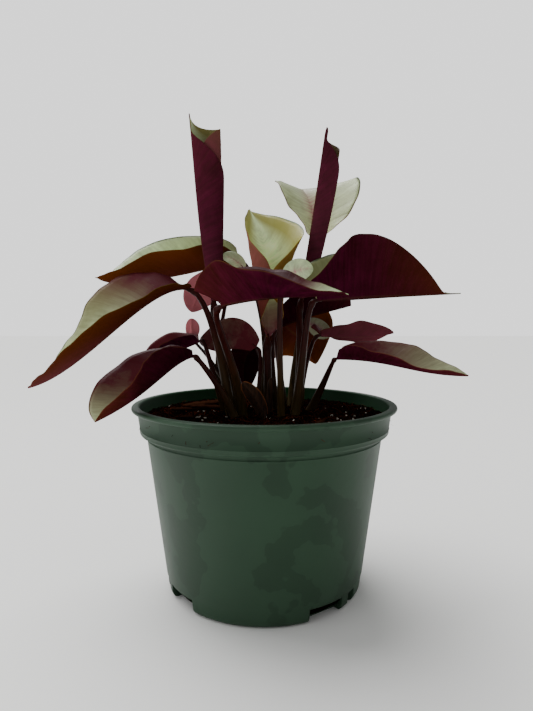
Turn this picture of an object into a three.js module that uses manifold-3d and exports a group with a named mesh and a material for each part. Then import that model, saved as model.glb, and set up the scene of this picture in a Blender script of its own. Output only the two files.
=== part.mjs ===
// Potted silver plate calathea in a round plastic nursery pot.
// Millimetres, +Z up, origin on the surface under the centre of the pot, front towards -Y.
import * as THREE from 'three';
import { mergeVertices } from 'three/addons/utils/BufferGeometryUtils.js';
import Module from 'manifold-3d';

const wasm = await Module();
wasm.setup();

// pot: the lip radius and the height are the driving sizes, those of a six inch azalea pot
const LIP_RADIUS = 77;
const POT_HEIGHT = 107;
const FOOT_RADIUS = 0.74 * LIP_RADIUS;
const BODY_TOP_RADIUS = 0.887 * LIP_RADIUS;
const COLLAR_LOW_RADIUS = 0.94 * LIP_RADIUS;
const COLLAR_TOP_RADIUS = 0.957 * LIP_RADIUS;
const COLLAR_DEPTH = 14;
const CHAMFER_DEPTH = 18.6;
const LIP_THICK = 2.8;
const WALL = 1.4;
const FLOOR = 2;
const FOOT_BAND = 9.5;
const FOOT_STEP = 0.7;
const SOFT_EDGE = 0.8;
const POT_SEGMENTS = 40;

// drain slots at the foot: mirrored about the mould line, degrees from the front
const MOULD_LINE = -8.7;
const SLOT_HEIGHT = 8;
const BIG_SLOT = { turns: [43.7, 136.3], width: 22 };
const SMALL_SLOT = { turns: [64.2, 115.8], width: 6.5 };

// soil, and how deep the stalks stand in it
const SOIL_LEVEL = POT_HEIGHT - 8.5;
const SOIL_RELIEF = 1.1;
const ROOT_DEPTH = 10;
const GAP = 0.35;
const STALK_GAP = 0.5;

// leaf blades and stalks
const BLADE_THICK = 0.8;
const RIB = 0.6;
const BASE_ANGLE = 24 * Math.PI / 180;
const TIP_CROWDING = 1.25;
const VEIN_START = 1.2;
const VEIN_SWEEP = 1.3;
const MARGIN_WAVES = 2.25;
const WAVE_SHIFT = 1.3;
const STALK_RADII = [2.9, 1.4];
const STALK_POINT = 0.7;
const STALK_SIDES = 7;
const STALK_STEPS = 9;

const COLOURS = {
  pot: 0x2f4a3c, soil: 0x2a1a12, blade: 0x5a1a30, silver: 0x9fae8c, stalk: 0x4a3a2c,
  sheath: 0x6b4a2c,
};

// Each leaf: midrib through four points (base, thirds, tip), widths of the right and left half
// seen from the base, fold of each half up from flat at base, middle and tip (degrees), roll of
// the whole blade about its midrib, and a stalk from its root through a middle point.
const LEAVES = [
  { name: 'rolled_leaf_left', grid: [12, 8],
    mid: [[-28, 6, 167], [-31.2, 5, 204], [-32.6, 4, 240], [-34.6, 3, 276]],
    face: [1, 0, 0], width: [49, 31], tip: [0.35, 2.6], spike: 7, lobe: 0, tube: [2.6, 6.9, 9.2],
    stalk: { root: [-11.5, 8], mid: [-25, 9, 131], bend: 14, radii: [2.9, 2.5] } },
  { name: 'rolled_leaf_right', grid: [12, 8],
    mid: [[24.5, 15, 168], [31.5, 16, 202], [37.8, 17, 237], [42.8, 17, 271]],
    face: [0.9, 0.45, 0], width: [26, 21], tip: [0.25, 1.8], spike: 7, lobe: 0, tube: [2.2, 5, 5.6],
    stalk: { root: [16.5, 8.5], mid: [21.6, 9, 137], bend: 14, radii: [2.9, 2.1] } },
  { name: 'long_leaf_left', grid: [11, 4],
    mid: [[-46, 4, 174.3], [-70.7, -11, 161.8], [-101.7, -14, 135.6], [-134.3, -14, 116.8]],
    width: [33, 24], tip: [1.6, 1.5], taper: 2.4, lobe: 0.05, roll: [-5, 5, -5],
    foldR: [34, 43.5, 22], foldL: [8, 19, 5], wave: 1.6,
    stalk: { root: [-18.5, 0.5], mid: [-30.5, -1, 151], bend: 14, radii: [2.9, 1.7] } },
  { name: 'back_leaf_left', grid: [11, 4],
    mid: [[-17, 28, 193], [-44, 29, 187], [-81, 26, 180], [-106, 26, 182.5]],
    width: [24, 24], tip: [1.4, 1.3], lobe: 0.03, roll: [5, 10, 5], foldR: [65, 70, 10],
    foldL: [36, 42, 5], wave: 1.6, stalk: { root: [1, 20], mid: [0.5, 24, 146], bend: 14 } },
  { name: 'low_leaf_front', grid: [10, 4],
    mid: [[-40.3, -16.5, 135.5], [-53, -20.4, 127.7], [-67, -28, 115.4], [-85, -50, 104]],
    width: [27, 26], tip: [1, 1.2], taper: 1.7, lobe: 0.03, roll: [0, -5, -5], foldR: [30, 38, 45],
    foldL: [30, 35, 45], wave: 0.8,
    stalk: { root: [-15.2, -9.5], mid: [-26.3, -12.5, 117.4], bend: 1.5, radii: [2.7, 1.6] } },
  { name: 'low_leaf_left', grid: [7, 3],
    mid: [[-40, 9, 143], [-52, 11.5, 138], [-62, 12.5, 134], [-74, 9, 124]],
    width: [14, 14], tip: [1.3, 1.3], lobe: 0.05, roll: [-5, 5, 5], foldR: [40, 50, 45],
    foldL: [35, 25, 30], wave: 0.5,
    stalk: { root: [-20.5, 6.5], mid: [-33, 5.5, 131], bend: 4, radii: [2, 1.3] } },
  { name: 'bud_leaf_left', grid: [5, 2],
    mid: [[-45, 20, 144], [-45.4, 21, 148], [-46, 22, 152], [-46, 23, 156.5]],
    face: [0.3, 1, 0], width: [5, 5], tip: [0.9, 0.9], lobe: 0, foldR: [10, 10, 10],
    foldL: [10, 10, 10], stalk: { root: [-19, 12.5], mid: [-32, 16.5, 128], bend: 1, radii: [1.5, 1] } },
  { name: 'channel_leaf_front', grid: [12, 4],
    mid: [[-22, -34, 163], [0, -43, 166.3], [21, -46, 167.3], [43, -42, 168]],
    width: [28, 25], tip: [2.4, 1.5], lobe: 0.24, foldR: [62, 10, 8], foldL: [68, 35, 30],
    curlR: [15, 10, 10], wave: 1.5,
    stalk: { root: [-12.5, -1.5], mid: [-21.5, -17, 140], bend: 12, radii: [2.9, 1.9] } },
  { name: 'wide_leaf_right', grid: [12, 4],
    mid: [[30, -8, 167], [55, -5, 168], [77, -9, 169], [111.5, -11, 170.4]],
    width: [36.6, 36], tip: [1.78, 1.3], spike: 6, lobe: 0.15, roll: [-10, 0, 0], foldR: [50, 80, 60],
    foldL: [50, 45, 45], curlR: [15, 15, 15], curlL: [10, 10, 10], wave: 1,
    stalk: { root: [16, -1.5], mid: [22.9, -2.5, 138], bend: 7, radii: [2.9, 1.8] } },
  { name: 'low_leaf_right', grid: [11, 4],
    mid: [[42, -6, 133.5], [66.5, -16, 131.6], [86, -24, 127.6], [111.5, -25, 124.8]],
    width: [19, 20], tip: [1.4, 1.4], lobe: 0.02, foldR: [40, 10, 10], foldL: [45, 35, 35],
    curlR: [25, 10, 20], wave: 0.9,
    stalk: { root: [22.5, 15], mid: [36.4, 7, 118.5], bend: 1.5, radii: [3.1, 1.4] } },
  { name: 'middle_leaf_right', grid: [8, 3],
    mid: [[34.5, 14, 146.4], [48.5, 19, 145.4], [66.5, 23, 145.4], [82, 24, 147.4]],
    width: [16, 16], tip: [1.2, 1.2], lobe: 0.14, roll: [20, 30, 20], foldR: [0, 5, 0],
    foldL: [60, 15, 15], wave: 0.8,
    stalk: { root: [19, 21.5], mid: [26.5, 19, 129], bend: 7, radii: [2, 1.3] } },
  { name: 'funnel_leaf', grid: [11, 6],
    mid: [[2, 11, 144], [2.5, 15, 171], [1, 17, 196], [-9.5, 16, 223]],
    face: [0.35, -1, 0], width: [34.5, 32.5], tip: [1.4, 1.2], taper: 3, lobe: 0, roll: [-5, 10, -15],
    foldR: [25, 8, -45], foldL: [35, 5, 35], curlR: [190, 165, 30], curlL: [190, 165, 30], wave: 0.3,
    stalk: { root: [3, 10.5], mid: [2, 12, 120], bend: 10, radii: [3, 2.6] } },
  { name: 'tall_leaf_back', grid: [11, 4],
    mid: [[35, 46, 209], [31, 47, 231], [26, 59, 245], [24, 93, 248]],
    face: [0, -1, 0.2], width: [36.3, 22.5], tip: [0.9, 2], lobe: 0.02, roll: [5, -5, -10],
    foldR: [65, 8, -2], foldL: [65, 32, 30], wave: 1.2,
    stalk: { root: [19.5, 29], mid: [24.5, 45, 150], bend: 10 } },
  { name: 'young_leaf_middle', grid: [6, 2],
    mid: [[-12.5, 14, 187], [-17, 14.5, 191], [-21.5, 15, 193.5], [-26.5, 15.5, 194]],
    face: [0, -1, 0.5], width: [5, 4.5], tip: [1, 1], lobe: 0.03, roll: [0, 0, 0], foldR: [10, 10, 0],
    foldL: [10, 10, 10],
    stalk: { root: [-5, 13], mid: [-2, 20, 155], bend: 6, radii: [1.8, 1.1] } },
  { name: 'small_silver_leaf', grid: [6, 2],
    mid: [[11, -17, 178], [15.5, -18, 181], [20.5, -19, 183], [27, -18, 183.5]],
    face: [0, -1, 0.5], width: [7, 7], tip: [1, 1], lobe: 0.03, roll: [5, -5, -5], foldR: [10, -5, 0],
    foldL: [0, 5, 10], stalk: { root: [9.8, -6], mid: [8.8, -11, 138], bend: 5, radii: [2.4, 1.5] } },
  { name: 'dark_leaf_middle', grid: [9, 3],
    mid: [[8, 22, 150], [22, 26, 156], [40, 27, 161], [56, 32, 165]],
    width: [17, 17], tip: [1.1, 1.1], lobe: 0.05, roll: [5, 10, 10], foldR: [50, 65, 60],
    foldL: [30, 30, 30], wave: 0.6,
    stalk: { root: [8.5, 15.5], mid: [5, 19.5, 130], bend: 7, radii: [2, 1.2] } },
  { name: 'hanging_leaf_back', grid: [9, 4],
    mid: [[10, 52, 157], [21, 62, 146], [27, 68, 141], [37, 70, 124]],
    face: [0.2, 1, 0.6], width: [28, 25], tip: [1.4, 1.3], lobe: 0.05, roll: [0, 10, -15],
    foldR: [0, 10, -10], foldL: [0, -10, 30], wave: 0.8,
    stalk: { root: [14, 38], mid: [9, 46, 131], bend: 12, radii: [2.4, 1.6] } },
  { name: 'shaded_leaf_left', grid: [8, 3],
    mid: [[-5, 12, 139], [-17, 15, 146], [-26, 18, 145], [-41, 20, 142]],
    face: [0, -1, 0.3], width: [11, 11], tip: [1.1, 1.1], lobe: 0.03, foldR: [10, 5, 10],
    foldL: [15, 15, 5], wave: 0.6,
    stalk: { root: [-3.5, 6], mid: [-3, 8, 120], bend: 6, radii: [1.8, 1.2] } },
  { name: 'pink_leaf_back', grid: [7, 2],
    mid: [[-24, 34, 185], [-35.5, 40, 179], [-44.6, 47, 172], [-49.6, 48, 161]],
    face: [-0.2, 1, 0.5], width: [12, 12], tip: [1.2, 1.2], lobe: 0.04, foldR: [0, 0, 0],
    foldL: [0, 0, -10], wave: 0.6,
    stalk: { root: [-16, 20], mid: [-28.5, 27, 146], bend: 8, radii: [2, 1.2] } },
  { name: 'dark_leaf_back', grid: [5, 2],
    mid: [[-8, 29, 139], [-12, 33, 132], [-14, 36, 123], [-13, 37, 108]],
    face: [0, 1, 0.6], width: [11, 11], tip: [1.2, 1.2], lobe: 0.04, foldR: [10, 10, 10],
    foldL: [10, 10, 10], stalk: { root: [-1, 27.5], mid: [0, 26, 122], bend: 5, radii: [1.8, 1.2] } },
  { name: 'small_leaf_right', grid: [5, 2],
    mid: [[27, 34, 154], [34, 38, 151], [39, 40, 148], [44, 40, 145]],
    face: [0, -1, 0.4], width: [6.5, 6.5], tip: [1.1, 1.1], lobe: 0.04, foldR: [-5, -5, 0],
    foldL: [0, 0, 0], stalk: { root: [21, 35], mid: [25, 35, 128], bend: 6, radii: [1.5, 1.1] } },
];

// dried remains at the foot of the clump
const SHEATH = { name: 'dried_sheath', grid: [6, 2],
  mid: [[0, -14, 99.5], [-3, -17, 107], [-7, -20, 114], [-12, -22, 121]],
  face: [0.3, 1, 0.2], width: [7, 5], tip: [1.1, 1.1], lobe: 0, foldR: [30, 30, 20], foldL: [40, 40, 30] };
const STUB = { name: 'cut_stub', root: [1.5, 3], mid: [3, 1, 108], top: [4, 0, 121], radii: [2.4, 2] };

const V = (p) => new THREE.Vector3(p[0], p[1], p[2]);
const rad = (degrees) => degrees * Math.PI / 180;
const clamp01 = (x) => Math.min(1, Math.max(0, x));

// value that passes through v[0], v[1], v[2] at 0, 1/2 and 1
function through(v, x) {
  const t = clamp01(x);
  return v[0] * (1 - t) * (1 - 2 * t) + v[1] * 4 * t * (1 - t) + v[2] * t * (2 * t - 1);
}

// cubic curve through four points at 0, 1/3, 2/3 and 1
function curveThrough([a, b, c, d]) {
  const mix = (ka, kb, kc, kd) => V(a).multiplyScalar(ka).addScaledVector(V(b), kb)
    .addScaledVector(V(c), kc).addScaledVector(V(d), kd).divideScalar(6);
  return new THREE.CubicBezierCurve3(V(a), mix(-5, 18, -9, 2), mix(2, -9, 18, -5), V(d));
}

// stalk from its root below the soil, through a middle point, into the base of the blade
function stalkCurve(stalk, end, along) {
  const root = new THREE.Vector3(stalk.root[0], stalk.root[1], SOIL_LEVEL - ROOT_DEPTH);
  const lead = end.clone().addScaledVector(along, -stalk.bend);
  const bow = V(stalk.mid).multiplyScalar(8).sub(root).sub(end).addScaledVector(lead, -3).divideScalar(3);
  return new THREE.CubicBezierCurve3(root, bow, lead, end);
}

// three.js geometry from points and triangles
function toGeometry({ points, triangles }) {
  const geometry = new THREE.BufferGeometry();
  const places = points.flatMap((p) => [p.x, p.y, p.z]);
  geometry.setAttribute('position', new THREE.Float32BufferAttribute(places, 3));
  geometry.setIndex(triangles.flat());
  geometry.computeVertexNormals();
  return geometry;
}

// the same closed shape as a solid that can be cut, its shared corners merged
function toSolid(geometry) {
  const bare = new THREE.BufferGeometry();
  bare.setAttribute('position', geometry.attributes.position);
  bare.setIndex(geometry.index);
  const merged = mergeVertices(bare, 1e-4);
  const corners = Array.from(merged.index.array);
  const faces = [];
  for (let i = 0; i < corners.length; i += 3) faces.push(corners.slice(i, i + 3));
  return new wasm.Manifold(new wasm.Mesh({
    numProp: 3,
    vertProperties: new Float32Array(merged.attributes.position.array),
    triVerts: new Uint32Array(faces.filter((face) => new Set(face).size === 3).flat()),
  }));
}

function fromSolid(solid) {
  const mesh = solid.getMesh();
  const geometry = new THREE.BufferGeometry();
  const places = Array.from(mesh.vertProperties);
  geometry.setAttribute('position', new THREE.Float32BufferAttribute(places, mesh.numProp));
  geometry.setIndex(Array.from(mesh.triVerts));
  geometry.computeVertexNormals();
  return geometry;
}

// place of flat leaf coordinates (x along, y out from the midrib on one side) in the bent blade
function bladePoint(leaf, curve, length, x, y, side) {
  const xi = x / length;
  const at = clamp01(xi);
  const along = curve.getTangent(at);
  const mid = curve.getPoint(at).addScaledVector(along, (xi - at) * length);
  const face = leaf.face ? V(leaf.face) : new THREE.Vector3(0, 0, 1);
  const up = face.addScaledVector(along, -face.dot(along)).normalize();
  const right = new THREE.Vector3().crossVectors(along, up);
  if (leaf.tube) {
    const radius = through(leaf.tube, xi);
    const [angle, spiral] = rollUp(y, radius, -side);
    return mid.addScaledVector(up, -Math.cos(angle) * spiral)
      .addScaledVector(right, side * Math.sin(angle) * spiral);
  }
  const roll = rad(through(leaf.roll ?? [0, 0, 0], xi));
  const across = right.clone().multiplyScalar(Math.cos(roll)).addScaledVector(up, Math.sin(roll));
  const lift = up.clone().multiplyScalar(Math.cos(roll)).addScaledVector(right, -Math.sin(roll));
  const fold = rad(through(side > 0 ? leaf.foldR : leaf.foldL, xi));
  const widest = Math.max(...leaf.width);
  const bend = rad(through((side > 0 ? leaf.curlR : leaf.curlL) ?? [0, 0, 0], xi)) / widest || 1e-5;
  const end = fold + bend * y;
  const phase = 2 * Math.PI * MARGIN_WAVES * xi + (side > 0 ? WAVE_SHIFT : 0);
  const wave = (leaf.wave ?? 0) * (y / widest) ** 2 * Math.sin(phase);
  const out = (Math.sin(end) - Math.sin(fold)) / bend - wave * Math.sin(end);
  const rise = (Math.cos(fold) - Math.cos(end)) / bend + wave * Math.cos(end);
  return mid.addScaledVector(across, side * out).addScaledVector(lift, rise);
}

// angle and radius on a spiral at arc length y from the midrib; turn +1 winds outwards
const SPIRAL_PITCH = 1.7;
function rollUp(y, radius, turn) {
  const k = turn * SPIRAL_PITCH / (4 * Math.PI);
  let angle = y / radius;
  for (let i = 0; i < 3; i++) {
    angle -= (radius * angle + k * angle * angle - y) / Math.max(radius + 2 * k * angle, 0.4);
  }
  return [angle, Math.max(radius + 2 * k * angle, 0.9)];
}

// half outline of the flat leaf: length along and half width at t from the base lobe to the tip
function outline(leaf, length, t, side) {
  const angle = BASE_ANGLE + (Math.PI - BASE_ANGLE) * t;
  const late = clamp01((angle - Math.PI / 2) / (Math.PI / 2));
  const early = clamp01((Math.PI / 2 - angle) / (Math.PI / 2));
  const spike = leaf.spike ?? 0;
  const share = (1 + leaf.lobe) * (1 - Math.cos(angle)) / 2 - leaf.lobe;
  const x = (length - spike) * share + spike * late ** 24;
  const tip = leaf.tip[side > 0 ? 0 : 1];
  const power = 1 + (tip - 1) * Math.sqrt(late) + ((leaf.taper ?? 1) - 1) * Math.sqrt(early);
  const y = leaf.width[side > 0 ? 0 : 1] * Math.max(Math.sin(angle), 0) ** power;
  return [x, spike > 0 ? y * (1 - late ** 8) : y];
}

// blade: one bent sheet with both halves, given thickness and a rib under the midrib
function makeBlade(leaf) {
  const curve = curveThrough(leaf.mid);
  const length = curve.getLength();
  const [rows, columns] = leaf.grid;
  const sheet = [];
  const index = new Map();
  const key = (t, v, side) => (t === rows ? 'tip' : v === 0 ? `m${t}` : `${side}_${t}_${v}`);
  for (const side of [1, -1]) {
    for (let t = 0; t <= rows; t++) {
      const share = 1 - (1 - t / rows) ** TIP_CROWDING;
      const [edgeX, edgeY] = outline(leaf, length, share, side);
      const ribX = length * share ** VEIN_START;
      for (let v = 0; v <= columns; v++) {
        const name = key(t, v, side);
        if (index.has(name)) continue;
        const out = v / columns;
        index.set(name, sheet.length);
        const x = ribX + (edgeX - ribX) * out ** VEIN_SWEEP;
        sheet.push(bladePoint(leaf, curve, length, x, edgeY * out, side));
      }
    }
  }
  const faces = [];
  for (const side of [1, -1]) {
    for (let t = 0; t < rows; t++) {
      for (let v = 0; v < columns; v++) {
        const corners = [[t, v], [t, v + 1], [t + 1, v + 1], [t + 1, v]];
        const [a, b, c, d] = corners.map(([row, column]) => index.get(key(row, column, side)));
        const pair = c === d ? [[a, b, c]] : [[a, b, c], [a, c, d]];
        faces.push(...pair.map((face) => (side > 0 ? face : face.toReversed())));
      }
    }
  }
  const rib = sheet.map(() => 0);
  for (let t = 0; t < rows; t++) rib[index.get(`m${t}`)] = RIB * (1 - t / rows);
  return toGeometry(thicken(sheet, faces, rib));
}

// offsets a sheet to both sides, with a rib below where it has one, and closes the rim
const STEEPEST = 0.45;
function thicken(sheet, faces, rib) {
  const normals = sheet.map(() => new THREE.Vector3());
  const flat = faces.map(([a, b, c]) => new THREE.Vector3().crossVectors(
    sheet[b].clone().sub(sheet[a]), sheet[c].clone().sub(sheet[a])));
  faces.forEach((f, i) => f.forEach((k) => normals[k].add(flat[i])));
  normals.forEach((n) => n.normalize());
  const slant = sheet.map(() => 1);
  faces.forEach((f, i) => f.forEach((k) => {
    slant[k] = Math.min(slant[k], flat[i].clone().normalize().dot(normals[k]));
  }));
  const half = BLADE_THICK / 2;
  const stretch = slant.map((s) => 1 / Math.max(s, STEEPEST));
  const upper = sheet.map((p, i) => p.clone().addScaledVector(normals[i], half * stretch[i]));
  const lower = sheet.map((p, i) => p.clone().addScaledVector(normals[i], -half * stretch[i] - rib[i]));
  const count = sheet.length;
  const edges = new Set(faces.flatMap(([a, b, c]) => [`${a}_${b}`, `${b}_${c}`, `${c}_${a}`]));
  const walls = [...edges].map((e) => e.split('_').map(Number)).filter(([a, b]) => !edges.has(`${b}_${a}`))
    .flatMap(([a, b]) => [[b, a, a + count], [b, a + count, b + count]]);
  const under = faces.map(([a, b, c]) => [c + count, b + count, a + count]);
  return { points: [...upper, ...lower], triangles: [...faces, ...under, ...walls] };
}

// round rod of changing radius along a curve; rings says how many of its steps are built, and
// lead moves the first ring back
function makeRod(curve, radiusAt, rings = STALK_STEPS, lead = 0) {
  const sides = STALK_SIDES;
  const points = [];
  const side = new THREE.Vector3(1, 0, 0);
  for (let i = 0; i <= rings; i++) {
    const t = i / STALK_STEPS;
    const along = curve.getTangent(t);
    side.addScaledVector(along, -side.dot(along)).normalize();
    const other = new THREE.Vector3().crossVectors(along, side);
    const centre = curve.getPoint(t).addScaledVector(along, i === 0 ? -lead : 0);
    for (let k = 0; k < sides; k++) {
      const angle = 2 * Math.PI * k / sides;
      points.push(centre.clone().addScaledVector(side, radiusAt(t) * Math.cos(angle))
        .addScaledVector(other, radiusAt(t) * Math.sin(angle)));
    }
  }
  const triangles = [];
  for (let k = 0; k < sides; k++) {
    const next = (k + 1) % sides;
    for (let i = 0; i < rings; i++) {
      const [low, high] = [i * sides, (i + 1) * sides];
      const [a, b, c, d] = [low + k, low + next, high + next, high + k];
      triangles.push([a, b, c], [a, c, d]);
    }
    if (k > 0 && k < sides - 1) {
      triangles.push([0, next, k], [rings * sides, rings * sides + k, rings * sides + next]);
    }
  }
  return toGeometry({ points, triangles });
}

// solid of revolution about Z from an outline of [radius, height] that starts and ends on the axis
function makeLathe(outlinePoints) {
  const profile = outlinePoints.map(([radius, height]) => new THREE.Vector2(radius, height));
  return new THREE.LatheGeometry(profile, POT_SEGMENTS).rotateX(Math.PI / 2);
}

// inner side of the pot wall from the soil down to the floor, moved inwards by a clearance
function innerWall(clearance) {
  return [
    [FOOT_RADIUS - 4 - clearance, FLOOR + clearance],
    [FOOT_RADIUS - WALL - clearance, FLOOR + 3.5],
    [BODY_TOP_RADIUS - WALL - clearance, POT_HEIGHT - CHAMFER_DEPTH],
    [COLLAR_LOW_RADIUS - WALL - clearance, POT_HEIGHT - COLLAR_DEPTH + 0.6],
  ];
}

function makePot() {
  const rimInside = COLLAR_TOP_RADIUS - WALL;
  const lipUnder = POT_HEIGHT - LIP_THICK;
  const outside = [
    [0, 0], [FOOT_RADIUS - 3.5, 0], [FOOT_RADIUS - 1, 1], [FOOT_RADIUS, 3.5],
    [FOOT_RADIUS + FOOT_STEP, FOOT_BAND], [FOOT_RADIUS + FOOT_STEP + 0.5, FOOT_BAND + FOOT_STEP],
    [BODY_TOP_RADIUS, POT_HEIGHT - CHAMFER_DEPTH], [COLLAR_LOW_RADIUS, POT_HEIGHT - COLLAR_DEPTH],
    [COLLAR_TOP_RADIUS, lipUnder], [LIP_RADIUS - SOFT_EDGE, lipUnder], [LIP_RADIUS, lipUnder + SOFT_EDGE],
    [LIP_RADIUS, POT_HEIGHT - SOFT_EDGE], [LIP_RADIUS - SOFT_EDGE, POT_HEIGHT],
  ];
  const inside = [
    [rimInside + SOFT_EDGE, POT_HEIGHT], [rimInside, POT_HEIGHT - SOFT_EDGE],
    ...innerWall(0).reverse(), [0, FLOOR],
  ];
  let pot = toSolid(makeLathe([...outside, ...inside]));
  for (const { turns, width } of [BIG_SLOT, SMALL_SLOT]) {
    for (const turn of turns.flatMap((t) => [t, -t])) {
      const cutter = new THREE.BoxGeometry(width, 12, 2 * SLOT_HEIGHT).translate(0, -(FOOT_RADIUS - 1), 0);
      pot = pot.subtract(toSolid(cutter.rotateZ(rad(turn + MOULD_LINE))));
    }
  }
  return fromSolid(pot);
}

// gentle heaps of the soil surface
function soilHeight(x, y) {
  const heaps = Math.sin(x * 0.21 + 1.1) * Math.cos(y * 0.17 - 0.4) + 0.6 * Math.sin(x * 0.43 - y * 0.31);
  return SOIL_LEVEL + SOIL_RELIEF * 0.6 * heaps * (1 - Math.hypot(x, y) / (1.4 * LIP_RADIUS));
}

function makeSoil(holes) {
  const edge = COLLAR_LOW_RADIUS + 0.6 - WALL - GAP;
  const rings = 7;
  const top = Array.from({ length: rings }, (_, i) => [edge * (rings - i) / rings, SOIL_LEVEL]);
  const body = makeLathe([[0, FLOOR + GAP], ...innerWall(GAP), ...top, [0, SOIL_LEVEL]]);
  const place = body.attributes.position;
  for (let i = 0; i < place.count; i++) {
    if (place.getZ(i) > SOIL_LEVEL - 0.1) place.setZ(i, soilHeight(place.getX(i), place.getY(i)));
  }
  return fromSolid(holes.reduce((soil, hole) => soil.subtract(toSolid(hole)), toSolid(body)));
}

const clump = new THREE.Group();
const container = new THREE.Group();
function add(parent, name, geometry, colour) {
  const mesh = new THREE.Mesh(geometry, new THREE.MeshStandardMaterial({ color: colour, roughness: 0.6 }));
  mesh.name = name;
  parent.add(mesh);
}

// a rod, and the slightly wider and deeper hole that it stands in
function plant(name, curve, radiusAt, holes, colour) {
  add(clump, name, makeRod(curve, radiusAt), colour);
  let rings = 1;
  while (curve.getPoint(rings / STALK_STEPS).z < SOIL_LEVEL + 3) rings++;
  holes.push(makeRod(curve, (t) => radiusAt(t) + 1.2 * GAP, rings, GAP));
}

// stalk of a leaf: it ends in a point just short of the rib under the base of the blade
function plantStalk(leaf, holes) {
  const midrib = curveThrough(leaf.mid);
  const along = midrib.getTangent(0);
  const face = leaf.face ? V(leaf.face) : new THREE.Vector3(0, 0, 1);
  const up = face.addScaledVector(along, -face.dot(along)).normalize();
  const drop = leaf.tube ? leaf.tube[0] : 1;
  const end = midrib.getPoint(0);
  end.addScaledVector(along, -STALK_GAP - 2 * leaf.lobe).addScaledVector(up, -drop);
  const [thick, thin] = leaf.stalk.radii ?? STALK_RADII;
  const radiusAt = (t) => (t > 0.96 ? STALK_POINT : thick + (thin - thick) * Math.min(1, 1.3 * t));
  plant(`${leaf.name}_stalk`, stalkCurve(leaf.stalk, end, along), radiusAt, holes, COLOURS.stalk);
}

const holes = [];
for (const leaf of LEAVES) {
  add(clump, leaf.name, makeBlade(leaf), leaf.tube ? COLOURS.blade : COLOURS.silver);
  plantStalk(leaf, holes);
}
add(clump, SHEATH.name, makeBlade(SHEATH), COLOURS.sheath);
const stubFoot = [STUB.root[0] + 0.7, STUB.root[1] - 0.7, SOIL_LEVEL];
const stubCurve = curveThrough([[...STUB.root, SOIL_LEVEL - ROOT_DEPTH], stubFoot, STUB.mid, STUB.top]);
const [stubThick, stubThin] = STUB.radii;
plant(STUB.name, stubCurve, (t) => stubThick + (stubThin - stubThick) * t, holes, COLOURS.sheath);
add(container, 'pot', makePot(), COLOURS.pot);
add(container, 'soil', makeSoil(holes), COLOURS.soil);

const group = new THREE.Group();
group.add(container, clump);
export default group;
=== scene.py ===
"""Potted silver plate calathea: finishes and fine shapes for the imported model.

Laid out as a Blender add-on and run as a script. Lengths in the leaf and pot sections are in
millimetres, as in the part's source, and become metres where a mesh is made.
"""
import math
import random
from functools import partial

import bpy
import numpy as np
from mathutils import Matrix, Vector, noise


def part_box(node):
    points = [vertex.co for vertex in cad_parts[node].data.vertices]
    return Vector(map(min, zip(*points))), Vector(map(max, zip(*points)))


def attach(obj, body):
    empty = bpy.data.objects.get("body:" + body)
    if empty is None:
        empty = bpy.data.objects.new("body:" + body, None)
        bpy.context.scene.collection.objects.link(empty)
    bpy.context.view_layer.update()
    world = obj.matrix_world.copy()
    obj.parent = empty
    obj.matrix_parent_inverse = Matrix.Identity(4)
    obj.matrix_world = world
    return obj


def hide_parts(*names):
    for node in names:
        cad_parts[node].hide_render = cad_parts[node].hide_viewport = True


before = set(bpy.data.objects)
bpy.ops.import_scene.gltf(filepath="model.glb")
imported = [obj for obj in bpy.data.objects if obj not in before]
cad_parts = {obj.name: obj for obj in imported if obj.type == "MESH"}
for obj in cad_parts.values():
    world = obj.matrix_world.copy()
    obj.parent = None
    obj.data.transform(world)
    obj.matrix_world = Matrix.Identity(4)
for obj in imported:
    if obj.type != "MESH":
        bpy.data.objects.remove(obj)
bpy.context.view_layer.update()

bl_info = {
    "name": "Potted silver plate calathea",
    "version": (1, 0, 0),
    "blender": (4, 5, 0),
    "location": "View3D > Sidebar > Calathea",
    "description": "Builds the leaves, stalks, pot, soil and studio of a potted calathea",
    "category": "Object",
}

MM = 0.001

# pot sizes in mm and turns in degrees; the lip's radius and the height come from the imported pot
LIP_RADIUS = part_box("pot")[1][0] / MM
POT_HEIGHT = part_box("pot")[1][2] / MM
FOOT_RADIUS = 0.74 * LIP_RADIUS
BODY_TOP_RADIUS = 0.887 * LIP_RADIUS
COLLAR_LOW_RADIUS = 0.94 * LIP_RADIUS
COLLAR_TOP_RADIUS = 0.957 * LIP_RADIUS
COLLAR_DEPTH = 14
CHAMFER_DEPTH = 18.6
LIP_THICK = 2.8
WALL = 1.4
FLOOR = 2
FOOT_BAND = 9.5
MOULD_LINE = -8.7
SLOT_HEIGHT = 8
SLOT_REACH = 6
BIG_SLOT = dict(turns=(43.7, 136.3), width=22)
SMALL_SLOT = dict(turns=(64.2, 115.8), width=6.5)

# rounded moulded edges of the pot in mm, from the foot up
FOOT_CORNER = 3.5
FOOT_STEP = (0.7, 0.5)
FLOOR_INSET = 4
BODY_BEAD = 0.35
STEP_OUT = 0.2
STEP_CORNER = 0.8
COLLAR_EASE = 0.6
COLLAR_CORNER = 1.1
COLLAR_BEAD = 0.25
LIP_CORNER = 0.6
LIP_ROLL = 1.3
INNER_ROLL = 1.2

# soil in mm: its level and relief, as in the part's source, its edge inside the pot's wall, and how
# deep the stalks reach below it
SOIL_LEVEL = POT_HEIGHT - 8.5
SOIL_RELIEF = 1.1
SOIL_EDGE = 0.9485 * LIP_RADIUS - WALL - 0.4
ROOT_DEPTH = 10

# leaf shape rules, as in the part's source
BASE_ANGLE = math.radians(24)
TIP_CROWDING = 1.25
VEIN_START = 1.2
VEIN_SWEEP = 1.3
MARGIN_WAVES = 2.25
WAVE_SHIFT = 1.3
SPIRAL_PITCH = 1.7
COLUMN_CROWDING = 1.4

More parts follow.
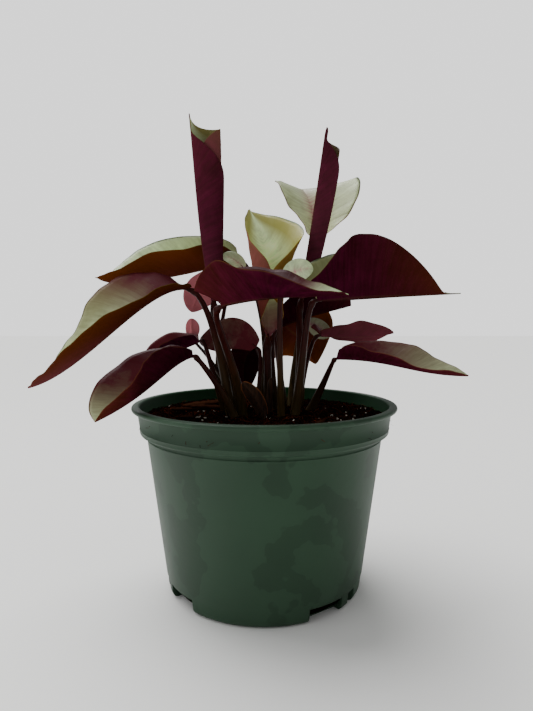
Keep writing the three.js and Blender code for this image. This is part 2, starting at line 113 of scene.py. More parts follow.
# blade relief in mm: pleats between the side veins, the groove above the midrib, the midrib's half
# width at its base and what it loses towards the tip, and the ripple along the margin
PLEAT_DEPTH = 0.04
GROOVE_DEPTH = 0.25
RIB_WIDTH = 1.1
RIB_NARROWING = 0.5
RIPPLE_LENGTH = 3.2

# stalks in mm: usual radii, the end behind and below the midrib's base, and the reach up under the rib
STALK_RADII = (2.9, 1.4)
STALK_BEHIND = 0.9
STALK_BELOW = 0.8
RIB_REACHES = (1.5, 4.0)
RIB_SLOPE = 0.25
SLOPE_LENGTH = 2
STALK_STEPS = 48
STALK_SIDES = 18

# a stalk's swelling under the blade and its sheathed foot, as shares of its length and radius
SWELLING = dict(at=0.86, spread=0.05, share=0.3)
SHEATHED_FOOT = dict(spread=0.25, share=0.12)

# sizes of the patterns in mm, each as long as one swell of its noise, so a patch is about half as
# wide. LEAF_STREAK holds swells for a half width, swells for a mm along (so 2 mm each) and the step
# that gives each blade its own. The grit is coarser than the real one, which is too fine to show.
LEAF_STREAK = (1.6, 0.5, 9.0)
VEIN_WANDER = 1.4
VEIN_HALF_WIDTH = 0.5
MOTTLE = 10.53
STALK_STREAK = (1.43, 1.43, 22.2)
HUSK_STREAK = (1.11, 1.11, 11.1)
DAMP_PATCH = 26.3
POT_FADE = 71.4
SPECK_SPACING = 11.1
POT_RIPPLE = 3.85
PEAT_GRIT = 2
PERLITE_GRIT = 1.11
FIBRE_GRIT = 3.33
BARK_GRIT = 4.55
FLOOR_GRAIN = 16.7

# Each leaf as in the part's source: midrib through four points, widths of the right and left half
# seen from the base, fold of each half at base, middle and tip, roll about the midrib, stalk.
LEAVES = [
    dict(name="rolled_leaf_left",
         mid=((-28, 6, 167), (-31.2, 5, 204), (-32.6, 4, 240), (-34.6, 3, 276)),
         face=(1, 0, 0), width=(49, 31), tip=(0.35, 2.6), spike=7, lobe=0, tube=(2.6, 6.9, 9.2),
         stalk=dict(root=(-11.5, 8), mid=(-25, 9, 131), bend=14, radii=(2.9, 2.5))),
    dict(name="rolled_leaf_right",
         mid=((24.5, 15, 168), (31.5, 16, 202), (37.8, 17, 237), (42.8, 17, 271)),
         face=(0.9, 0.45, 0), width=(26, 21), tip=(0.25, 1.8), spike=7, lobe=0, tube=(2.2, 5, 5.6),
         stalk=dict(root=(16.5, 8.5), mid=(21.6, 9, 137), bend=14, radii=(2.9, 2.1))),
    dict(name="long_leaf_left",
         mid=((-46, 4, 174.3), (-70.7, -11, 161.8), (-101.7, -14, 135.6), (-134.3, -14, 116.8)),
         width=(33, 24), tip=(1.6, 1.5), taper=2.4, lobe=0.05, roll=(-5, 5, -5),
         fold_right=(34, 43.5, 22), fold_left=(8, 19, 5), wave=1.6,
         stalk=dict(root=(-18.5, 0.5), mid=(-30.5, -1, 151), bend=14, radii=(2.9, 1.7))),
    dict(name="back_leaf_left",
         mid=((-17, 28, 193), (-44, 29, 187), (-81, 26, 180), (-106, 26, 182.5)),
         width=(24, 24), tip=(1.4, 1.3), lobe=0.03, roll=(5, 10, 5), fold_right=(65, 70, 10),
         fold_left=(36, 42, 5), wave=1.6, stalk=dict(root=(1, 20), mid=(0.5, 24, 146), bend=14)),
    dict(name="low_leaf_front",
         mid=((-40.3, -16.5, 135.5), (-53, -20.4, 127.7), (-67, -28, 115.4), (-85, -50, 104)),
         width=(27, 26), tip=(1, 1.2), taper=1.7, lobe=0.03, roll=(0, -5, -5), fold_right=(30, 38, 45),
         fold_left=(30, 35, 45), wave=0.8,
         stalk=dict(root=(-15.2, -9.5), mid=(-26.3, -12.5, 117.4), bend=1.5, radii=(2.7, 1.6))),
    dict(name="low_leaf_left",
         mid=((-40, 9, 143), (-52, 11.5, 138), (-62, 12.5, 134), (-74, 9, 124)),
         width=(14, 14), tip=(1.3, 1.3), lobe=0.05, roll=(-5, 5, 5), fold_right=(40, 50, 45),
         fold_left=(35, 25, 30), wave=0.5,
         stalk=dict(root=(-20.5, 6.5), mid=(-33, 5.5, 131), bend=4, radii=(2, 1.3))),
    dict(name="bud_leaf_left",
         mid=((-45, 20, 144), (-45.4, 21, 148), (-46, 22, 152), (-46, 23, 156.5)),
         face=(0.3, 1, 0), width=(5, 5), tip=(0.9, 0.9), lobe=0, fold_right=(10, 10, 10),
         fold_left=(10, 10, 10),
         stalk=dict(root=(-19, 12.5), mid=(-32, 16.5, 128), bend=1, radii=(1.5, 1))),
    dict(name="channel_leaf_front",
         mid=((-22, -34, 163), (0, -43, 166.3), (21, -46, 167.3), (43, -42, 168)),
         width=(28, 25), tip=(2.4, 1.5), lobe=0.24, fold_right=(62, 10, 8), fold_left=(68, 35, 30),
         curl_right=(15, 10, 10), wave=1.5,
         stalk=dict(root=(-12.5, -1.5), mid=(-21.5, -17, 140), bend=12, radii=(2.9, 1.9))),
    dict(name="wide_leaf_right",
         mid=((30, -8, 167), (55, -5, 168), (77, -9, 169), (111.5, -11, 170.4)),
         width=(36.6, 36), tip=(1.78, 1.3), spike=6, lobe=0.15, roll=(-10, 0, 0),
         fold_right=(50, 80, 60), fold_left=(50, 45, 45), curl_right=(15, 15, 15),
         curl_left=(10, 10, 10), wave=1,
         stalk=dict(root=(16, -1.5), mid=(22.9, -2.5, 138), bend=7, radii=(2.9, 1.8))),
    dict(name="low_leaf_right",
         mid=((42, -6, 133.5), (66.5, -16, 131.6), (86, -24, 127.6), (111.5, -25, 124.8)),
         width=(19, 20), tip=(1.4, 1.4), lobe=0.02, fold_right=(40, 10, 10), fold_left=(45, 35, 35),
         curl_right=(25, 10, 20), wave=0.9,
         stalk=dict(root=(22.5, 15), mid=(36.4, 7, 118.5), bend=1.5, radii=(3.1, 1.4))),
    dict(name="middle_leaf_right",
         mid=((34.5, 14, 146.4), (48.5, 19, 145.4), (66.5, 23, 145.4), (82, 24, 147.4)),
         width=(16, 16), tip=(1.2, 1.2), lobe=0.14, roll=(20, 30, 20), fold_right=(0, 5, 0),
         fold_left=(60, 15, 15), wave=0.8,
         stalk=dict(root=(19, 21.5), mid=(26.5, 19, 129), bend=7, radii=(2, 1.3))),
    dict(name="funnel_leaf",
         mid=((2, 11, 144), (2.5, 15, 171), (1, 17, 196), (-9.5, 16, 223)),
         face=(0.35, -1, 0), width=(34.5, 32.5), tip=(1.4, 1.2), taper=3, lobe=0, roll=(-5, 10, -15),
         fold_right=(25, 8, -45), fold_left=(35, 5, 35), curl_right=(190, 165, 30),
         curl_left=(190, 165, 30), wave=0.3,
         stalk=dict(root=(3, 10.5), mid=(2, 12, 120), bend=10, radii=(3, 2.6))),
    dict(name="tall_leaf_back",
         mid=((35, 46, 209), (31, 47, 231), (26, 59, 245), (24, 93, 248)),
         face=(0, -1, 0.2), width=(36.3, 22.5), tip=(0.9, 2), lobe=0.02, roll=(5, -5, -10),
         fold_right=(65, 8, -2), fold_left=(65, 32, 30), wave=1.2,
         stalk=dict(root=(19.5, 29), mid=(24.5, 45, 150), bend=10)),
    dict(name="young_leaf_middle",
         mid=((-12.5, 14, 187), (-17, 14.5, 191), (-21.5, 15, 193.5), (-26.5, 15.5, 194)),
         face=(0, -1, 0.5), width=(5, 4.5), tip=(1, 1), lobe=0.03, roll=(0, 0, 0),
         fold_right=(10, 10, 0), fold_left=(10, 10, 10),
         stalk=dict(root=(-5, 13), mid=(-2, 20, 155), bend=6, radii=(1.8, 1.1))),
    dict(name="small_silver_leaf",
         mid=((11, -17, 178), (15.5, -18, 181), (20.5, -19, 183), (27, -18, 183.5)),
         face=(0, -1, 0.5), width=(7, 7), tip=(1, 1), lobe=0.03, roll=(5, -5, -5),
         fold_right=(10, -5, 0), fold_left=(0, 5, 10),
         stalk=dict(root=(9.8, -6), mid=(8.8, -11, 138), bend=5, radii=(2.4, 1.5))),
    dict(name="dark_leaf_middle",
         mid=((8, 22, 150), (22, 26, 156), (40, 27, 161), (56, 32, 165)),
         width=(17, 17), tip=(1.1, 1.1), lobe=0.05, roll=(5, 10, 10), fold_right=(50, 65, 60),
         fold_left=(30, 30, 30), wave=0.6,
         stalk=dict(root=(8.5, 15.5), mid=(5, 19.5, 130), bend=7, radii=(2, 1.2))),
    dict(name="hanging_leaf_back",
         mid=((10, 52, 157), (21, 62, 146), (27, 68, 141), (37, 70, 124)),
         face=(0.2, 1, 0.6), width=(28, 25), tip=(1.4, 1.3), lobe=0.05, roll=(0, 10, -15),
         fold_right=(0, 10, -10), fold_left=(0, -10, 30), wave=0.8,
         stalk=dict(root=(14, 38), mid=(9, 46, 131), bend=12, radii=(2.4, 1.6))),
    dict(name="shaded_leaf_left",
         mid=((-5, 12, 139), (-17, 15, 146), (-26, 18, 145), (-41, 20, 142)),
         face=(0, -1, 0.3), width=(11, 11), tip=(1.1, 1.1), lobe=0.03, fold_right=(10, 5, 10),
         fold_left=(15, 15, 5), wave=0.6,
         stalk=dict(root=(-3.5, 6), mid=(-3, 8, 120), bend=6, radii=(1.8, 1.2))),
    dict(name="pink_leaf_back",
         mid=((-24, 34, 185), (-35.5, 40, 179), (-44.6, 47, 172), (-49.6, 48, 161)),
         face=(-0.2, 1, 0.5), width=(12, 12), tip=(1.2, 1.2), lobe=0.04, fold_right=(0, 0, 0),
         fold_left=(0, 0, -10), wave=0.6,
         stalk=dict(root=(-16, 20), mid=(-28.5, 27, 146), bend=8, radii=(2, 1.2))),
    dict(name="dark_leaf_back",
         mid=((-8, 29, 139), (-12, 33, 132), (-14, 36, 123), (-13, 37, 108)),
         face=(0, 1, 0.6), width=(11, 11), tip=(1.2, 1.2), lobe=0.04, fold_right=(10, 10, 10),
         fold_left=(10, 10, 10), stalk=dict(root=(-1, 27.5), mid=(0, 26, 122), bend=5, radii=(1.8, 1.2))),
    dict(name="small_leaf_right",
         mid=((27, 34, 154), (34, 38, 151), (39, 40, 148), (44, 40, 145)),
         face=(0, -1, 0.4), width=(6.5, 6.5), tip=(1.1, 1.1), lobe=0.04, fold_right=(-5, -5, 0),
         fold_left=(0, 0, 0), stalk=dict(root=(21, 35), mid=(25, 35, 128), bend=6, radii=(1.5, 1.1))),
]

# Tints, evenly spaced from base to tip; one with _right is for the right half alone. On the silver
# face wash is plum, flush pink beside the midrib and warm olive towards the margins. On the lower face
# glow is brown, blush rose and moss olive. Shade darkens both faces; below 0 it is light coming
# through thin tissue.
TINTS = {
    "rolled_leaf_left": dict(wash=(0.3, 0.3, 0.1), warm=(0.9, 0.9, 1.4), glow=(0, 0.05, 0.2),
                             blush=(0.1, 0.05, 0.05), blush_right=(0.1, 0.1, 0.3),
                             moss_right=(0, 0, 0, 0, 0.1, 0.7), shade=(0.1, 0.1, 0),
                             shade_right=(0.1, 0.1, -0.1)),
    "rolled_leaf_right": dict(wash=(0.5, 0.6, 0.6), warm=(0.9, 0.9, 0.9), glow=(0, 0, 0.1),
                              glow_right=(0, 0.2, 0.7), blush=(0.1, 0.1, 0.05), shade=(0, 0.05, 0.3)),
    "long_leaf_left": dict(wash=(1.3, 1.25, 0.9, 0.3, 0, 0, 0), flush=(0.2, 0.1, 0), warm=(0.9, 0.5, 0.2),
                           glow=(1, 1, 0.3), blush=(0, 0, 0.3), shade=(0.3, 0.15, 0, 0.1)),
    "back_leaf_left": dict(flush=(0.3, 0.1, 0), warm=(0.5, 0.15, 0.1), glow=(1, 1, 1),
                           shade=(0.3, -0.3, -0.1, 0.25)),
    "low_leaf_front": dict(wash=(1.25, 1.2, 1.05, 0.3), flush=(0.5, 0.5, 0.3), glow=(0.1, 0.2, 0.7),
                           shade=(0.5, 0.35, 0, -0.3), shade_right=(0.3, 0, -0.3, -0.6)),
    "low_leaf_left": dict(wash=(1.2, 1.2, 1.2), shade=(0, -0.3, -0.4)),
    "bud_leaf_left": dict(wash=(0.3, 0.3, 0.3), flush=(0.9, 0.9, 0.9), blush=(0.85, 0.8, 0.75),
                          shade=(-0.5, -0.7, -0.6)),
    "channel_leaf_front": dict(wash=(1.3, 1.3, 1.3, 1.3, 1, 0, 0), flush=(0.3, 0.3, 0.1),
                               glow=(0.4, 0.05, 0.2), shade=(0, 0.5, 0.6, 0.2, 0), shade_right=(0, 0.1, 0)),
    "wide_leaf_right": dict(flush=(0.5, 0.2, 0), warm=(0.9, 0.4, 0.2), glow=(0, 0.2, 0.85),
                            shade=(0.1, 0.25, 0.3)),
    "low_leaf_right": dict(wash=(1.15, 1, 0.65, 0.25), flush=(0.8, 0.5, 0.2), glow=(0.1, 0.2, 0.4),
                           shade=(-0.1, -0.1, -0.1)),
    "middle_leaf_right": dict(wash=(1.25, 1.25, 1.2), glow=(0.2, 0.2, 0.2), blush=(0.13, 0.13, 0.13),
                              shade=(0, -0.1, -0.1)),
    "funnel_leaf": dict(wash=(1.1, 0.85, 0, 0, 0), warm=(1, 1, 0.9), glow=(0.5, 0.3, 0.1),
                        glow_right=(1, 0.8, 0.5), blush=(0, 0, 0.15, 0.2, 0.3), blush_right=(0, 0, 0.1),
                        moss=(0, 0.1, 0.2), moss_right=(0, 0.3, 0.4), shade=(-0.2, -0.7, -1.3, -1.3, -0.7)),
    "tall_leaf_back": dict(wash=(0.35, 0.15, 0, 0, 0), flush=(1.4, 1.2, 0.6, 0.2), warm=(0.1, 0.45, 0.5),
                           glow=(0.3, 0.3, 0.3), shade=(-1.2, -0.6, -0.1, 0.3, 0.5)),
    "young_leaf_middle": dict(flush=(0.9, 0.7, 0.3)),
    "small_silver_leaf": dict(flush=(1, 1, 0.4), shade=(-0.3, -0.3, -0.3)),
    "dark_leaf_middle": dict(wash=(1.3, 1.3, 1.3), glow=(0.2, 0.2, 0.3), shade=(0.5, 0.5, 0.3)),
    "hanging_leaf_back": dict(glow=(0.8, 1, 1), shade=(-0.1, -0.2, -0.3)),
    "shaded_leaf_left": dict(wash=(1.15, 1, 1.02), flush=(0.9, 0.9, 0.7), shade=(0, 0, -0.1)),
    "pink_leaf_back": dict(wash=(0.3, 0.3, 0.3), blush=(0.7, 0.75, 0.8), shade=(-0.3, -0.3, -0.4)),
    "dark_leaf_back": dict(wash=(1.2, 1.2, 1.2), glow=(0.3, 0.3, 0.3), shade=(0.4, 0.4, 0.4)),
    "small_leaf_right": dict(wash=(0.6, 0.5, 0.4), flush=(1.8, 1.6, 1), blush=(0.5, 0.5, 0.5)),
    "dried_sheath": dict(),
}
NO_TINT = (0, 0)

# a blade with more wash than this at its base has the less shiny upper face
PLUM_WASH = 1.1

# half width in mm of a drawn-out tip that ends blunt
BLUNT_TIPS = {"rolled_leaf_right": 2.4}

# dried remains at the foot of the clump
SHEATH = dict(name="dried_sheath", mid=((0, -14, 99.5), (-3, -17, 107), (-7, -20, 114), (-12, -22, 121)),
              face=(0.3, 1, 0.2), width=(7, 5), tip=(1.1, 1.1), lobe=0, fold_right=(30, 30, 20),
              fold_left=(40, 40, 30))
SHEATH_SEED = 31
STUB = dict(root=(1.5, 3), foot=(2.2, 2.3), mid=(3, 1, 108), top=(4, 0, 121), steps=30,
            radii=((0, 2.4), (0.8, 2), (0.93, 1.9), (1, 1.1)))

# crumbly crust over the soil in mm: how far it stands over the soil body, its lumps as width, height
# and layer of the noise, and the skirt at its edge
CRUST_LIFT = 0.7
CRUST_MIDDLE = 0.6
CRUST_LUMPS = ((4, 0.9, 0), (1.6, 0.5, 9))
SKIRT_DEPTH = 4

# bark chips: centre and size in mm, heading and tilt in degrees
BARK_CHIPS = [
    ((-38, 26, 101.8), (30, 12, 3.4), -8, 7),
    ((-33, 16, 101.2), (22, 8, 2.6), 10, -4),
    ((-50, 10, 100.8), (14, 6, 2.0), 35, -5),
    ((-44, -14, 100.4), (9, 4, 1.6), -30, 5),
    ((30, -30, 100.2), (9, 4, 1.4), 60, 4),
]
SPLINTER = 0.16
RAGGED = 0.5
RAGGED_END = 2.5

# studio: picture in pixels, floor in mm, light places and sizes in metres
PHOTO_SIZE = (533, 711)
FLOOR_REACH = 6000
LIT_POINT = (0, 0, 0.14)
KEY_LIGHT = dict(place=(-0.9, -0.4, 0.45), size=0.8)
TOP_LIGHT = dict(place=(-0.35, 0.45, 1.0), spread=math.radians(60))


def linear(colour):
    """sRGB hex text as the linear colour, with alpha, that shaders take."""
    shares = [int(colour[i:i + 2], 16) / 255 for i in (1, 3, 5)]
    return (*(s / 12.92 if s <= 0.04045 else ((s + 0.055) / 1.055) ** 2.4 for s in shares), 1.0)


def add_node(tree, kind, inputs=None, output=None, **settings):
    """Adds a node, sets its properties, fills or links its inputs by name or number, and returns
    one of its outputs: the named one, or else the first in use."""
    made = tree.nodes.new(kind)
    for key, value in settings.items():
        setattr(made, key, value)
    for key, value in (inputs or {}).items():
        named = [socket for socket in made.inputs if socket.name == key and socket.enabled]
        socket = named[0] if named else made.inputs[key]
        if isinstance(value, bpy.types.NodeSocket):
            tree.links.new(value, socket)
        else:
            socket.default_value = value
    live = [socket for socket in made.outputs if socket.enabled and output in (None, socket.name)]
    return live[0] if live else made


# settings

def colour_property(name, description, colour):
    return bpy.props.FloatVectorProperty(name=name, description=description, subtype="COLOR", size=4,
                                         min=0, max=1, default=linear(colour))


def length_property(name, description, millimetres):
    return bpy.props.FloatProperty(name=name, description=description, unit="LENGTH", subtype="DISTANCE",
                                   min=0, precision=5, default=millimetres * MM)


class LeafSettings(bpy.types.PropertyGroup):
    """Sizes and colours of the leaf blades and stalks."""
    rib_thickness: length_property("Thickness at midrib", "Blade thickness beside the midrib", 0.7)
    edge_thickness: length_property("Thickness at margin", "Blade thickness at the margin", 0.3)
    rib_height: length_property("Midrib height", "How far the midrib stands below the blade", 0.9)
    vein_spacing: length_property("Vein spacing", "Distance between side veins", 3.2)
    ripple: bpy.props.FloatProperty(name="Margin ripple", description="Share of the blade's half width",
                                    default=0.02, min=0, max=0.1)
    rows: bpy.props.IntProperty(name="Rows", description="Mesh rows along a blade", default=72, min=12)
    columns: bpy.props.IntProperty(name="Columns", description="Mesh columns in half a blade", default=14,
                                   min=4)
    silver: colour_property("Silver", "Centre of the upper face", "#b6c69a")
    margin: colour_property("Margin", "Green rim of the upper face", "#38471f")
    pink: colour_property("Pink", "Flush beside the midrib", "#b0727a")
    rose: colour_property("Rose", "Lower face of young leaves", "#b0686e")
    plum: colour_property("Plum", "Wash over young and shaded leaves", "#561e26")
    olive: colour_property("Olive", "Warm tint where light comes through", "#6e6a2e")
    burgundy: colour_property("Burgundy", "Lower face", "#3a061f")
    brown: colour_property("Olive brown", "Lower face where light comes through", "#54290a")
    stalk: colour_property("Stalk", "Upper stalk", "#2e0f0c")
    stalk_base: colour_property("Stalk base", "Lower, sheathed stalk", "#3c3017")


class PotSettings(bpy.types.PropertyGroup):
    """Mesh fineness and colour of the pot."""
    segments: bpy.props.IntProperty(name="Segments", description="Sides round the pot", default=160, min=24)
    colour: colour_property("Pot green", "Moulded plastic", "#2e4433")
    # the inner wall colour is painted shade: the inside is the same plastic, darker because it lies in shade
    inner: colour_property("Inner wall", "Damp inside of the pot", "#0e3c1c")


class SoilSettings(bpy.types.PropertyGroup):
    """What the soil is made of."""
    seed: bpy.props.IntProperty(name="Seed", description="Changes where the grains lie", default=4)
    crumb: length_property("Crumb size", "Typical peat crumb", 1.5)
    crumb_density: bpy.props.FloatProperty(name="Crumb density", description="Peat crumbs per square metre",
                                           default=340000, min=0)
    perlite: length_property("Perlite size", "Typical perlite bead", 1.6)
    perlite_density: bpy.props.FloatProperty(name="Perlite density", description="Beads per square metre",
                                             default=4000, min=0)
    fibre: length_property("Fibre length", "Typical bark or coir fibre", 7)
    fibre_density: bpy.props.FloatProperty(name="Fibre density", description="Fibres per square metre",
                                           default=42000, min=0)
    colour: colour_property("Peat", "Damp peat", "#0a0503")


class StudioSettings(bpy.types.PropertyGroup):
    """Camera and light."""
    focal_pixels: bpy.props.FloatProperty(name="Focal length", description="In pixels of a 533 x 711 image",
                                          default=534)
    pitch: bpy.props.FloatProperty(name="Pitch", description="Camera tilt below level", subtype="ANGLE",
                                   default=math.radians(3.5))
    distance: length_property("Distance", "Camera to the pot's axis, along Y", 315.6)
    height: length_property("Camera height", "Above the surface", 153.7)
    aside: length_property("Camera offset", "To the right of the pot's axis", 1.2)
    key_power: bpy.props.FloatProperty(name="Key light", description="Soft box at the left, in watts",
                                       default=2.5)
    top_strength: bpy.props.FloatProperty(name="Top light", description="Soft light from above, in W/m2",
                                          default=4.0)
    sky: bpy.props.FloatProperty(name="Sky", description="Light of the white surroundings", default=0.45)
    backdrop: bpy.props.FloatProperty(name="Backdrop", description="White seen behind the plant",
                                      default=1.5)
    floor: colour_property("Floor", "Pale floor", "#f4f4f2")


# leaf geometry

def through(values, x):
    """Value that passes through the three given ones at 0, 1/2 and 1."""
    t = np.clip(x, 0, 1)
    return values[0] * (1 - t) * (1 - 2 * t) + values[1] * 4 * t * (1 - t) + values[2] * t * (2 * t - 1)


def tint_at(values, x):
    """Tint at shares x of a blade's length, from values evenly spaced from its base to its tip."""
    return np.interp(x, np.linspace(0, 1, len(values)), values)


def curve_through(points):
    """Control points of the cubic curve through four points at 0, 1/3, 2/3 and 1."""
    a, b, c, d = (np.array(p, float) for p in points)
    return a, (-5 * a + 18 * b - 9 * c + 2 * d) / 6, (2 * a - 9 * b + 18 * c - 5 * d) / 6, d


def curve_at(control, t):
    """Points and unit tangents of a cubic curve."""
    a, b, c, d = control
    t = np.asarray(t, float)[..., None]
    u = 1 - t
    place = u ** 3 * a + 3 * u * u * t * b + 3 * u * t * t * c + t ** 3 * d
    along = u * u * (b - a) + 2 * u * t * (c - b) + t * t * (d - c)
    return place, unit(along)


def unit(v):
    return v / np.maximum(np.linalg.norm(v, axis=-1, keepdims=True), 1e-9)


def roll_up(y, radius, turn):
    """Angle and radius on a spiral at arc length y, found in three Newton steps; turn +1 winds
    outwards."""
    k = turn * SPIRAL_PITCH / (4 * math.pi)
    angle = y / radius
    for _ in range(3):
        angle = angle - (radius * angle + k * angle ** 2 - y) / np.maximum(radius + 2 * k * angle, 0.4)
    return angle, np.maximum(radius + 2 * k * angle, 0.9)


def bend_blade(leaf, length, x, y, side):
    """Places flat leaf coordinates, along and out from the midrib on one side, in the bent blade."""
    xi = x / length
    at = np.clip(xi, 0, 1)
    mid, along = curve_at(curve_through(leaf["mid"]), at)
    mid = mid + along * ((xi - at) * length)[..., None]
    face = np.array(leaf.get("face", (0, 0, 1)), float)
    up = unit(face - along * (along @ face)[..., None])
    right = np.cross(along, up)
    if "tube" in leaf:
        angle, spiral = roll_up(y, through(leaf["tube"], xi), -side)
        rise = -np.cos(angle) * spiral
        out = side * np.sin(angle) * spiral
        return mid + up * rise[..., None] + right * out[..., None]
    roll = np.radians(through(leaf.get("roll", (0, 0, 0)), xi))[..., None]
    across = right * np.cos(roll) + up * np.sin(roll)
    lift = up * np.cos(roll) - right * np.sin(roll)
    hand = "right" if side > 0 else "left"
    widest = max(leaf["width"])
    fold = np.radians(through(leaf[f"fold_{hand}"], xi))
    bend = np.radians(through(leaf.get(f"curl_{hand}", (0, 0, 0)), xi)) / widest
    bend = np.where(np.abs(bend) < 1e-5, 1e-5, bend)
    end = fold + bend * y
    phase = 2 * math.pi * MARGIN_WAVES * xi + (WAVE_SHIFT if side > 0 else 0)
    wave = leaf.get("wave", 0) * (y / widest) ** 2 * np.sin(phase)
    out = (np.sin(end) - np.sin(fold)) / bend - wave * np.sin(end)
    rise = (np.cos(fold) - np.cos(end)) / bend + wave * np.cos(end)
    return mid + across * (side * out)[..., None] + lift * rise[..., None]


def outline(leaf, length, t, side):
    """Length along and half width of the flat leaf at t, from the base lobe to the tip."""
    angle = BASE_ANGLE + (math.pi - BASE_ANGLE) * t
    late = np.clip((angle - math.pi / 2) / (math.pi / 2), 0, 1)
    early = np.clip((math.pi / 2 - angle) / (math.pi / 2), 0, 1)
    spike = leaf.get("spike", 0)
    hand = 0 if side > 0 else 1
    share = (1 + leaf["lobe"]) * (1 - np.cos(angle)) / 2 - leaf["lobe"]
    x = (length - spike) * share + spike * late ** 24
    power = 1 + (leaf["tip"][hand] - 1) * np.sqrt(late) + (leaf.get("taper", 1) - 1) * np.sqrt(early)
    y = leaf["width"][hand] * np.maximum(np.sin(angle), 0) ** power
    if not spike:
        return x, y
    return x, y * (1 - late ** 8) + BLUNT_TIPS.get(leaf["name"], 0) * late ** 8 * np.sqrt(1 - late ** 40)


def midrib_length(leaf):
    points, _ = curve_at(curve_through(leaf["mid"]), np.linspace(0, 1, 201))
    return np.linalg.norm(np.diff(points, axis=0), axis=1).sum()


def join_halves(left, right):
    """Two half sheets, each from the midrib outwards, as one from the left margin to the right one."""
    return np.concatenate([left[:, :0:-1], right], axis=1)


def blade_sheet(leaf, rows, columns):
    """Grid of points from the left margin to the right one, with each point's signed share of the
    half width, its distance along and its distance out in mm. The last row is the tip."""
    length = midrib_length(leaf)
    share = 1 - (1 - np.linspace(0, 1, rows + 1)) ** TIP_CROWDING
    out = np.linspace(0, 1, columns + 1) ** COLUMN_CROWDING
    rib = length * share ** VEIN_START
    halves = {}
    for side in (-1, 1):
        edge_x, edge_y = outline(leaf, length, share, side)
        x = rib[:, None] + (edge_x - rib)[:, None] * out[None, :] ** VEIN_SWEEP
        y = edge_y[:, None] * out[None, :]
        halves[side] = bend_blade(leaf, length, x, y, side), y
    points = join_halves(halves[-1][0], halves[1][0])
    away = join_halves(halves[-1][1], halves[1][1])
    across = np.broadcast_to(np.concatenate([-out[:0:-1], out]), away.shape)
    along = np.broadcast_to((share * length)[:, None], away.shape)
    return points, across, along, away


def blade_skins(leaf, settings, seed):
    """Upper and lower points of a blade's grid, with each point's signed share of the half width and
    its distance along in mm."""
    tube = "tube" in leaf
    columns = settings.columns * (2 if tube else 1)
    points, across, along, away = blade_sheet(leaf, settings.rows, columns)
    share = along / along[-1, 0]
    normal = unit(np.cross(np.gradient(points, axis=1), np.gradient(points, axis=0)))
    normal[-1] = normal[-2, columns]
    # side veins sink a little above and stand out a little below
    body = 4 * np.abs(across) * (1 - np.abs(across))
    relief = PLEAT_DEPTH * body * np.sin(math.pi * along / (settings.vein_spacing / MM))
    if not tube:
        phase = 2 * np.sign(across) + seed
        long_wave = np.sin(along / RIPPLE_LENGTH + phase)
        short_wave = 0.4 * np.sin(2.3 * along / RIPPLE_LENGTH + 2 * phase)
        margin = settings.ripple * leaf["width"][0] * np.abs(across) ** 3
        relief = relief + margin * (long_wave + short_wave) * (1 - share) ** 0.3
    points = points + normal * relief[..., None]
    half_thickness = (settings.rib_thickness / MM / 2, settings.edge_thickness / MM / 2)
    thick = np.interp(np.abs(across), (0, 1), half_thickness)
    ridge = np.exp(-(away / (RIB_WIDTH - RIB_NARROWING * share)) ** 2) * (1 - share) ** 0.7
    upper = points + normal * (thick - GROOVE_DEPTH * ridge)[..., None]
    lower = points - normal * (thick + settings.rib_height / MM * ridge)[..., None]
    return upper, lower, across, along


def sheet_faces(rows, width):
    """Faces of a closed sheet over a grid that ends in one tip point: those above, those below, and
    the narrow wall round the margin. The lower points follow the upper ones."""
    index = np.arange(rows * width).reshape(rows, width)
    tip = rows * width
    count = tip + 1
    above = [(low[c], low[c + 1], high[c + 1], high[c])
             for low, high in zip(index[:-1], index[1:]) for c in range(width - 1)]
    above += [(index[-1][c], index[-1][c + 1], tip) for c in range(width - 1)]
    below = [tuple(count + k for k in reversed(face)) for face in above]
    rim = [*index[0], *index[1:, -1], tip, *index[:0:-1, 0]]
    wall = [(b, a, a + count, b + count) for a, b in zip(rim, rim[1:] + rim[:1])]
    return above, below, wall


def blade_mesh(leaf, settings, seed):
    """Closed blade as new_piece takes it: points, faces, each face's finish and smoothness, and the
    values that the finishes read at each point."""
    upper, lower, across, along = blade_skins(leaf, settings, seed)
    rows, width = along.shape[0] - 1, along.shape[1]
    above, below, wall = sheet_faces(rows, width)

    def flat(grid):
        """The grid's points in one list, with the tip once at its end."""
        return np.concatenate([grid[:-1].reshape(rows * width, -1), grid[-1:, width // 2].reshape(1, -1)])

    place = np.concatenate([flat(across), flat(along), np.full((rows * width + 1, 1), seed)], axis=1)
    share = flat(along)[:, 0] / along[-1, 0]
    on_right = flat(across)[:, 0] > 0
    tints = TINTS[leaf["name"]]

    def tint(name):
        """One tint at each point, on the right half its own where it has one."""
        both = tint_at(tints.get(name, NO_TINT), share)
        right = tint_at(tints.get(f"{name}_right", NO_TINT), share)
        return np.where(on_right & (f"{name}_right" in tints), right, both)

    return dict(
        points=np.concatenate([flat(upper), flat(lower)]),
        faces=[tuple(int(k) for k in face) for face in above + below + wall],
        finish=[0] * len(above) + [1] * (len(below) + len(wall)),
        smooth=[True] * (len(above) + len(below)) + [False] * len(wall),
        values={
            "leaf_place": np.concatenate([place, place]),
            "leaf_tint": np.concatenate([
                np.stack([tint("wash"), tint("flush"), tint("warm")], axis=1),
                np.stack([tint("glow"), tint("blush"), tint("moss")], axis=1),
            ]),
            "leaf_shade": np.concatenate([tint("shade"), tint("shade")]),
        },
    )


